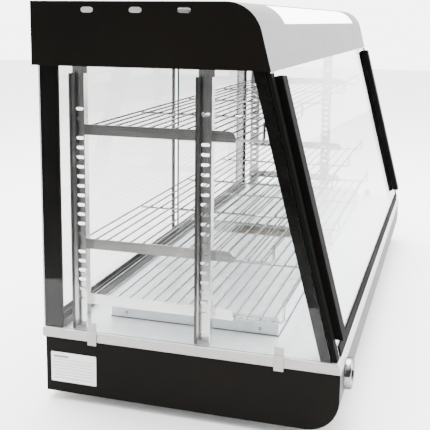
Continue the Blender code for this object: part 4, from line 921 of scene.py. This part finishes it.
EDGE_STRIP_FACE = 0.0010
EDGE_STRIP_END = 0.0016
EDGE_STRIP_DEPTH = 0.0048
EDGE_STRIP_FOOT_GAP = 0.0014
EDGE_STRIP_TOP_GAP = 0.0020
PANE_RUN_ACROSS = 0.0049
HAIR_GAP = 0.0001
pane_edge = front_high.x
pane_slope = (front_run - PANE_RUN_ACROSS) / front_rise
bar_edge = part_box("front_glass_bar_right")[1].x + 0.0004
strip_foot = front_low.z + EDGE_STRIP_FOOT_GAP
strip_length = (front_high.z - EDGE_STRIP_TOP_GAP - strip_foot) * math.sqrt(1 + pane_slope ** 2)
for end_name, side in SIDES:
    section = [(bar_edge, -EDGE_STRIP_FACE), (pane_edge + EDGE_STRIP_END, -EDGE_STRIP_FACE),
               (pane_edge + EDGE_STRIP_END, EDGE_STRIP_DEPTH), (pane_edge + HAIR_GAP, EDGE_STRIP_DEPTH),
               (pane_edge + HAIR_GAP, -HAIR_GAP), (bar_edge, -HAIR_GAP)]
    if side < 0:
        section = [(-across, inward) for across, inward in reversed(section)]
    strip = flat_plate(f"pane_edge_strip_{end_name}", section, strip_length, matt_black)
    strip.location = (0.0, front_low.y + pane_slope * (strip_foot - front_low.z), strip_foot)
    strip.rotation_euler = (-math.atan(pane_slope), 0.0, 0.0)
    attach(strip, "case")

clip_steel = steel_finish("clip_stainless", ALONG_Z, (0.22, 0.214, 0.207), (0.33, 0.32, 0.31), 0.24, 0.00002)
for end_name in ENDS:
    for row in ("front", "rear"):
        dress(f"glass_clip_{row}_{end_name}", clip_steel, 0.0003)


# ---- Sliding doors ------------------------------------------------------------------------------------
# Moulded black two-groove tracks above and below. Each pane has a stick-on pull, and the left pane has
# a black plastic strip pressed over its meeting edge.

track_plastic = sprayed_finish("track_plastic", (0.014, 0.014, 0.015), (0.030, 0.030, 0.030),
                               (0.07, 0.07, 0.07), 0.42, 1200.0, 0.00008)[0]
dress("door_track_bottom", track_plastic, 0.0003)
dress("door_track_top", track_plastic, 0.0003)
for end_name in ENDS:
    dress(f"door_handle_{end_name}", knob_plastic, 0.0)
STRIP_WIDTH = 0.0100
STRIP_WALL = 0.0012
TRACK_GAP = 0.002
DOOR_PANE = 0.004
door_low, door_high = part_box("rear_door_left")
strip_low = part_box("door_track_bottom")[1].z + TRACK_GAP
strip_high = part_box("door_track_top")[0].z - TRACK_GAP
section = [(-STRIP_WIDTH, -STRIP_WALL), (STRIP_WALL, -STRIP_WALL), (STRIP_WALL, DOOR_PANE + STRIP_WALL),
           (-STRIP_WIDTH, DOOR_PANE + STRIP_WALL), (-STRIP_WIDTH, DOOR_PANE + HAIR_GAP),
           (HAIR_GAP, DOOR_PANE + HAIR_GAP), (HAIR_GAP, -HAIR_GAP), (-STRIP_WIDTH, -HAIR_GAP)]
strip = flat_plate("door_edge_strip", section, strip_high - strip_low, track_plastic)
strip.location = (door_high.x, door_low.y, strip_low)
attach(strip, "door_left")


# ---- Shelf uprights and arms --------------------------------------------------------------------------
# Slotted stainless angles screwed top and bottom, with a silicone gasket down one edge, and angle-section
# arms whose two ears hook into the slots. The uprights' grain runs up, the arms' from front to back.

upright_steel = steel_finish("upright_stainless", ALONG_Z, (0.56, 0.545, 0.53), (0.76, 0.75, 0.74), 0.17,
                             0.00003)
arm_steel = steel_finish("arm_stainless", ALONG_Y, (0.60, 0.585, 0.57), (0.80, 0.79, 0.78), 0.16, 0.00003)
TAB_HEIGHT = 0.011
SLOT_LINE = 0.0123
TOP_SCREW_DROP = 0.0055
FOOT_SCREW_RISE = 0.0090
GASKET = (0.0035, 0.0040)
for end_name, side in SIDES:
    for row in ("front", "rear"):
        upright_name = f"shelf_upright_{row}_{end_name}"
        dress(upright_name, upright_steel, 0.0)
        low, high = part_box(upright_name)
        web = (high.x if side < 0 else low.x) - side * HAIR_GAP
        middle = low.y + SLOT_LINE
        screw_set(f"upright_screws_{row}_{end_name}",
                  [(web, middle, high.z - TOP_SCREW_DROP), (web, middle, low.z + FOOT_SCREW_RISE)],
                  (-side, 0, 0), SMALL_SCREW_RADIUS, "case")
        rim = low.x if side < 0 else high.x
        gasket = bmesh.new()
        bmesh.ops.create_cube(gasket, size=1.0)
        bmesh.ops.scale(gasket, vec=Vector((*GASKET, high.z - low.z - TAB_HEIGHT)), verts=gasket.verts)
        bmesh.ops.bevel(gasket, geom=gasket.edges[:], offset=0.0006, segments=2, affect="EDGES")
        gasket = new_piece(f"upright_gasket_{row}_{end_name}", gasket, dark_seal_and_shadow,
                           place=(rim - side * 0.0008, high.y - 0.0016,
                                  (low.z + high.z - TAB_HEIGHT) / 2))
        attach(gasket, "case")
    for tier in (1, 2, 3):
        dress(f"shelf_arm_{tier}_{end_name}", arm_steel, 0.0)


# ---- Wire racks ---------------------------------------------------------------------------------------
# Drawn wire, spot welded and electropolished: thin wires along the case lie on thicker cross wires, whose
# front ends bend up and carry a guard wire. Faces turned up or along the case are painted bright as painted
# highlight, and the flanks painted dark as painted shade. Each rack rests loose on its two arms.

bright_wire, wire_tree, wire_shader = new_finish("bright_wire", (0.62, 0.62, 0.62), 0.12, 1.0)
wire_shader.inputs["Specular Tint"].default_value = (0.25, 0.25, 0.25, 1.0)
wire_place = add(wire_tree, "TexCoord").outputs["Object"]
wire_tarnish = add(wire_tree, "TexNoise", {"Vector": wire_place, "Scale": 38.0, "Detail": 5.0})
wire_draw = add(wire_tree, "TexNoise", {"Vector": wire_place, "Scale": 1600.0, "Detail": 2.0})
# Painted highlight and shade: faces turned up or along the case take the bright tone, the rest the dark flank
# tone.
wire_painted_highlight = blend(wire_tree, wire_tarnish.outputs["Fac"], (0.50, 0.50, 0.50, 1.0), (0.78, 0.78, 0.78, 1.0))
wire_painted_shade = blend(wire_tree, wire_tarnish.outputs["Fac"], (0.055, 0.055, 0.055, 1.0),
                   (0.13, 0.127, 0.123, 1.0))
wire_normal = add(wire_tree, "NewGeometry")
wire_axes = add(wire_tree, "SeparateXYZ", {"Vector": wire_normal.outputs["Normal"]})
wire_across = add(wire_tree, "Math", {0: wire_axes.outputs["X"]}, operation="ABSOLUTE")
wire_lit_facing = add(wire_tree, "Math", {0: wire_axes.outputs["Z"], 1: wire_across.outputs["Value"]},
                  operation="MAXIMUM")
wire_highlight_share = add(wire_tree, "MapRange",
              {"Value": wire_lit_facing.outputs["Value"], "From Min": 0.45, "From Max": 0.88})
wire_light_and_shade_tone = blend(wire_tree, wire_highlight_share.outputs["Result"], wire_painted_shade, wire_painted_highlight)
wire_dull = add(wire_tree, "MapRange",
                {"Value": wire_tarnish.outputs["Fac"], "From Min": 0.3, "From Max": 0.7,
                                        "To Min": 0.08, "To Max": 0.20})
wire_dent = add(wire_tree, "Bump", {"Height": wire_draw.outputs["Fac"], "Distance": 0.00004, "Strength": 0.4})
join_up(wire_tree, wire_light_and_shade_tone, wire_shader.inputs["Base Color"])
join_up(wire_tree, wire_dull.outputs["Result"], wire_shader.inputs["Roughness"])
join_up(wire_tree, wire_dent.outputs["Normal"], wire_shader.inputs["Normal"])
LONG_WIRE = 0.0015
CROSS_WIRE = 0.0020
WIRE_PITCH = 0.0204
RACK_BAYS = 4
BEND = 0.0070
BEND_STEPS = 6
WELD_SINK = 0.0005
WELD_RADIUS = 0.0021


def weld_beads(name, spots, radius, finish, body):
    """The squashed lumps of metal where two wires are spot welded."""
    shape = bmesh.new()
    for spot in spots:
        lump = bmesh.ops.create_icosphere(shape, subdivisions=1, radius=radius)["verts"]
        bmesh.ops.scale(shape, vec=Vector((1.0, 1.15, 0.55)), verts=lump)
        bmesh.ops.translate(shape, vec=Vector(spot), verts=lump)
    made = new_piece(name, shape, finish, smooth=True)
    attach(made, body)


for tier, body in enumerate(("rack_lower", "rack_middle", "rack_upper"), start=1):
    low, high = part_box(f"wire_rack_{tier}")
    level = low.z + CROSS_WIRE
    guard = high.z - CROSS_WIRE
    front = low.y + CROSS_WIRE
    rear = high.y - LONG_WIRE
    reach = high.x - CROSS_WIRE
    top = level + CROSS_WIRE + LONG_WIRE - WELD_SINK
    routes = []
    sizes = []
    count = int((rear - front - WIRE_PITCH * 0.5) / WIRE_PITCH) + 1
    lines = [rear - WIRE_PITCH * index for index in range(count)]
    for y in lines:
        routes.append([(-reach, y, top), (reach, y, top)])
        sizes.append(LONG_WIRE)
    stations = [-reach + 2 * reach * bay / RACK_BAYS for bay in range(RACK_BAYS + 1)]
    for x in stations:
        route = [(x, rear, level)]
        for step in range(BEND_STEPS + 1):
            angle = math.pi / 2 * step / BEND_STEPS
            route.append((x, front + BEND - BEND * math.sin(angle),
                          level + BEND - BEND * math.cos(angle)))
        route.append((x, front, guard))
        routes.append(route)
        sizes.append(CROSS_WIRE)
    routes.append([(-reach, front, guard), (reach, front, guard)])
    sizes.append(CROSS_WIRE)
    rack = lay_wires(f"rack_wires_{tier}", routes, sizes, bright_wire, body)
    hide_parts(f"wire_rack_{tier}")
    welds = [(x, y, (level + top) / 2 + 0.0004) for x in stations for y in lines]
    weld_beads(f"rack_welds_{tier}", welds, WELD_RADIUS, bright_wire, body)


# ---- Canopy -------------------------------------------------------------------------------------------
# One stainless sheet rolled over the front and top between the painted end plates, with an opal window
# let into its curve from behind, sealed in black. The underside sheet and fascia close it, and a tube
# lamp lies over the underside's slot.

# Painted shade: the rolled sheet and its fascia are given a dark grey steel tone and a dulled glancing shine,
# far darker than the underside's stainless.
canopy_steel = steel_finish("canopy_stainless", ALONG_X, (0.20, 0.20, 0.20), (0.32, 0.32, 0.32), 0.36,
                            0.00003, rim=0.5)
inner_steel = steel_finish("inner_stainless", ALONG_X, (0.66, 0.66, 0.66), (0.82, 0.82, 0.82), 0.24, 0.00002)
cover_low, cover_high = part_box("canopy_cover")
window_low, window_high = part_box("light_window")
SHEET = 0.0012
CURVE_RADIUS = 0.056
CURVE_STEPS = 28
lean = math.atan(front_run / front_rise)
slope = math.tan(lean)
foot_y = cover_low.y
curve_tangent = CURVE_RADIUS * math.tan((math.pi / 2 - lean) / 2)
curve_y = foot_y + slope * (cover_high.z - cover_low.z) + curve_tangent
curve_z = cover_high.z - CURVE_RADIUS


def canopy_section(inset):
    """The canopy's section from the front's foot to the rear, moved inwards by inset: (y, z) pairs."""
    points = [(foot_y + inset / math.cos(lean), cover_low.z)]
    for step in range(CURVE_STEPS + 1):
        angle = math.pi - lean - (math.pi / 2 - lean) * step / CURVE_STEPS
        radius = CURVE_RADIUS - inset
        points.append((curve_y + radius * math.cos(angle), curve_z + radius * math.sin(angle)))
    points.append((cover_high.y, cover_high.z - inset))
    return points


def cut_at(points, low_z, high_y):
    """The part of a section above low_z and in front of high_y, its ends put exactly there."""
    kept = [point for point in points if point[1] > low_z and point[0] < high_y]
    index = points.index(kept[0])
    before = points[index - 1]
    share = (low_z - before[1]) / (kept[0][1] - before[1])
    first = (before[0] + (kept[0][0] - before[0]) * share, low_z)
    index = points.index(kept[-1])
    after = points[index + 1]
    share = (high_y - kept[-1][0]) / (after[0] - kept[-1][0])
    last = (high_y, kept[-1][1] + (after[1] - kept[-1][1]) * share)
    return [first] + kept + [last]


def rolled_sheet(shape, outer, inner, left, right):
    """A solid strip of sheet between two matching sections, from left to right."""
    rings = []
    for x in (left, right):
        rings.append([shape.verts.new((x, y, z)) for y, z in outer] +
                     [shape.verts.new((x, y, z)) for y, z in reversed(inner)])
    count = len(rings[0])
    for step in range(count):
        after = (step + 1) % count
        shape.faces.new((rings[0][step], rings[1][step], rings[1][after], rings[0][after]))
    for ring in rings:
        half = len(outer)
        for step in range(half - 1):
            shape.faces.new((ring[step], ring[step + 1], ring[count - 2 - step], ring[count - 1 - step]))


outer_line = canopy_section(0.0)
inner_line = canopy_section(SHEET)
LIP = 0.009
LAP = 0.012
WINDOW_DROP = 0.033
WINDOW_BEFORE_TOP = 0.006
lip_inner = foot_y + slope * SHEET + LIP
window_foot = cover_high.z - WINDOW_DROP
window_head = curve_y - WINDOW_BEFORE_TOP
window_left = window_low.x + LAP
window_right = window_high.x - LAP
canopy_shape = bmesh.new()
rolled_sheet(canopy_shape, outer_line, inner_line, cover_low.x, window_left)
rolled_sheet(canopy_shape, outer_line, inner_line, window_right, cover_high.x)


def below(points, height):
    """The part of a section from its foot up to height."""
    kept = [point for point in points if point[1] <= height and point[0] < curve_y]
    after = points[len(kept)]
    share = (height - kept[-1][1]) / (after[1] - kept[-1][1])
    return kept + [(kept[-1][0] + (after[0] - kept[-1][0]) * share, height)]


def behind(points, depth):
    """The part of a section from depth back to its rear end."""
    kept = [point for point in points if point[0] >= depth]
    before = points[len(points) - len(kept) - 1]
    share = (depth - before[0]) / (kept[0][0] - before[0])
    return [(depth, before[1] + (kept[0][1] - before[1]) * share)] + kept


def even_out(points, count):
    """The same line with a set number of points, so that two sections can be paired."""
    lengths = [0.0]
    for one, two in zip(points, points[1:]):
        lengths.append(lengths[-1] + math.hypot(two[0] - one[0], two[1] - one[1]))
    spaced = []
    for index in range(count):
        target = lengths[-1] * index / (count - 1)
        step = max(i for i in range(len(points) - 1) if lengths[i] <= target + 1e-9)
        share = (target - lengths[step]) / (lengths[step + 1] - lengths[step])
        spaced.append((points[step][0] + (points[step + 1][0] - points[step][0]) * share,
                       points[step][1] + (points[step + 1][1] - points[step][1]) * share))
    return spaced


PART_POINTS = 16
for outer_part, inner_part in ((below(outer_line, window_foot), below(inner_line, window_foot)),
                               (behind(outer_line, window_head), behind(inner_line, window_head))):
    rolled_sheet(canopy_shape, even_out(outer_part, PART_POINTS), even_out(inner_part, PART_POINTS),
                 window_left, window_right)
bmesh.ops.recalc_face_normals(canopy_shape, faces=canopy_shape.faces)
lip = bmesh.ops.create_cube(canopy_shape, size=1.0)["verts"]
bmesh.ops.scale(canopy_shape, vec=Vector((cover_high.x - cover_low.x, lip_inner - foot_y - SHEET, SHEET)),
                verts=lip)
bmesh.ops.translate(canopy_shape, vec=Vector(((cover_low.x + cover_high.x) / 2,
                                              (lip_inner + foot_y + SHEET) / 2,
                                              cover_low.z + SHEET / 2)), verts=lip)
canopy = new_piece("canopy_sheet", canopy_shape, canopy_steel, smooth=True)
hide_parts("canopy_cover")
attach(canopy, "case")

opal, opal_tree, opal_shader, opal_cloud = mottled_finish(
    "opal_acrylic", (0.90, 0.90, 0.89), 0.10, 14.0, 4.0, (0.86, 0.87, 0.86), (0.94, 0.94, 0.93), by_size=True)
opal_shader.inputs["Coat Weight"].default_value = 0.3
# Painted glow: the opal window gives off light of its own, standing in for the lamp's light shining through
# the acrylic.
opal_shader.inputs["Emission Color"].default_value = (1.0, 0.995, 0.98, 1.0)
opal_shader.inputs["Emission Strength"].default_value = 5.0
opal_dull = add(opal_tree, "MapRange", {"Value": opal_cloud, "To Min": 0.05, "To Max": 0.16})
join_up(opal_tree, opal_dull.outputs["Result"], opal_shader.inputs["Roughness"])
OPAL_GAP = 0.0003
OPAL_SHEET = 0.0025
OPAL_POINTS = 32
opal_shape = bmesh.new()
opal_outer = canopy_section(SHEET + OPAL_GAP)
opal_inner = canopy_section(SHEET + OPAL_GAP + OPAL_SHEET)
opal_foot = max(window_foot - LAP, window_low.z)
opal_head = window_head + LAP
rolled_sheet(opal_shape, even_out(cut_at(opal_outer, opal_foot, opal_head), OPAL_POINTS),
             even_out(cut_at(opal_inner, opal_foot, opal_head), OPAL_POINTS), window_low.x, window_high.x)
bmesh.ops.recalc_face_normals(opal_shape, faces=opal_shape.faces)
opal_window = new_piece("opal_window", opal_shape, opal, smooth=True)
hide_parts("light_window")
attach(opal_window, "case")

SEAL_RADIUS = 0.0009
seal_route = cut_at(canopy_section(SHEET * 0.75), window_foot, window_head)
seal_loop = [(window_left, y, z) for y, z in seal_route]
seal_loop += [(window_right, y, z) for y, z in reversed(seal_route)]
seal_loop.append(seal_loop[0])
seal = lay_wires("window_seal", [seal_loop], [SEAL_RADIUS], dark_seal_and_shadow, "case", 2)

dress("canopy_underside", inner_steel, 0.0)
dress("canopy_rear_fascia", canopy_steel, 0.0)

tube_white, tube_tree, tube_shader, tube_cloud = mottled_finish(
    "coated_tube", (0.88, 0.89, 0.87), 0.12, 30.0, 3.0, (0.84, 0.85, 0.82), (0.92, 0.92, 0.90), by_size=True)
tube_shader.inputs["Emission Color"].default_value = (1.0, 0.99, 0.96, 1.0)
tube_shader.inputs["Emission Strength"].default_value = 30.0
lamp_low, lamp_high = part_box("lamp_tube")
lamp_radius = (lamp_high.y - lamp_low.y) / 2
lamp_length = lamp_high.x - lamp_low.x
lamp_centre = (lamp_low + lamp_high) / 2
TUBE_INTO_CAP = 0.016
CAP_LENGTH = 0.018
CAP_EDGE = 0.0015
tube_end = lamp_length / 2 - TUBE_INTO_CAP
lamp_profile = [(AXIS_HOLE, -tube_end), (lamp_radius * 0.98, -tube_end), (lamp_radius * 0.98, tube_end),
                (AXIS_HOLE, tube_end)]
lamp = turned_piece("lamp_glass_tube", lamp_profile, lamp_centre, (1, 0, 0), tube_white, 40)
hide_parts("lamp_tube")
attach(lamp, "case")
for end_name, side in SIDES:
    near = side * (lamp_length / 2 - CAP_LENGTH)
    far = side * lamp_length / 2
    cap_profile = [(AXIS_HOLE, near), (lamp_radius * 0.92, near),
                   (lamp_radius * 0.995, near + side * CAP_EDGE),
                   (lamp_radius * 0.995, far - side * CAP_EDGE), (lamp_radius * 0.90, far), (AXIS_HOLE, far)]
    cap = turned_piece(f"lamp_cap_{end_name}", cap_profile, lamp_centre, (1, 0, 0), zinc, 40)
    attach(cap, "case")
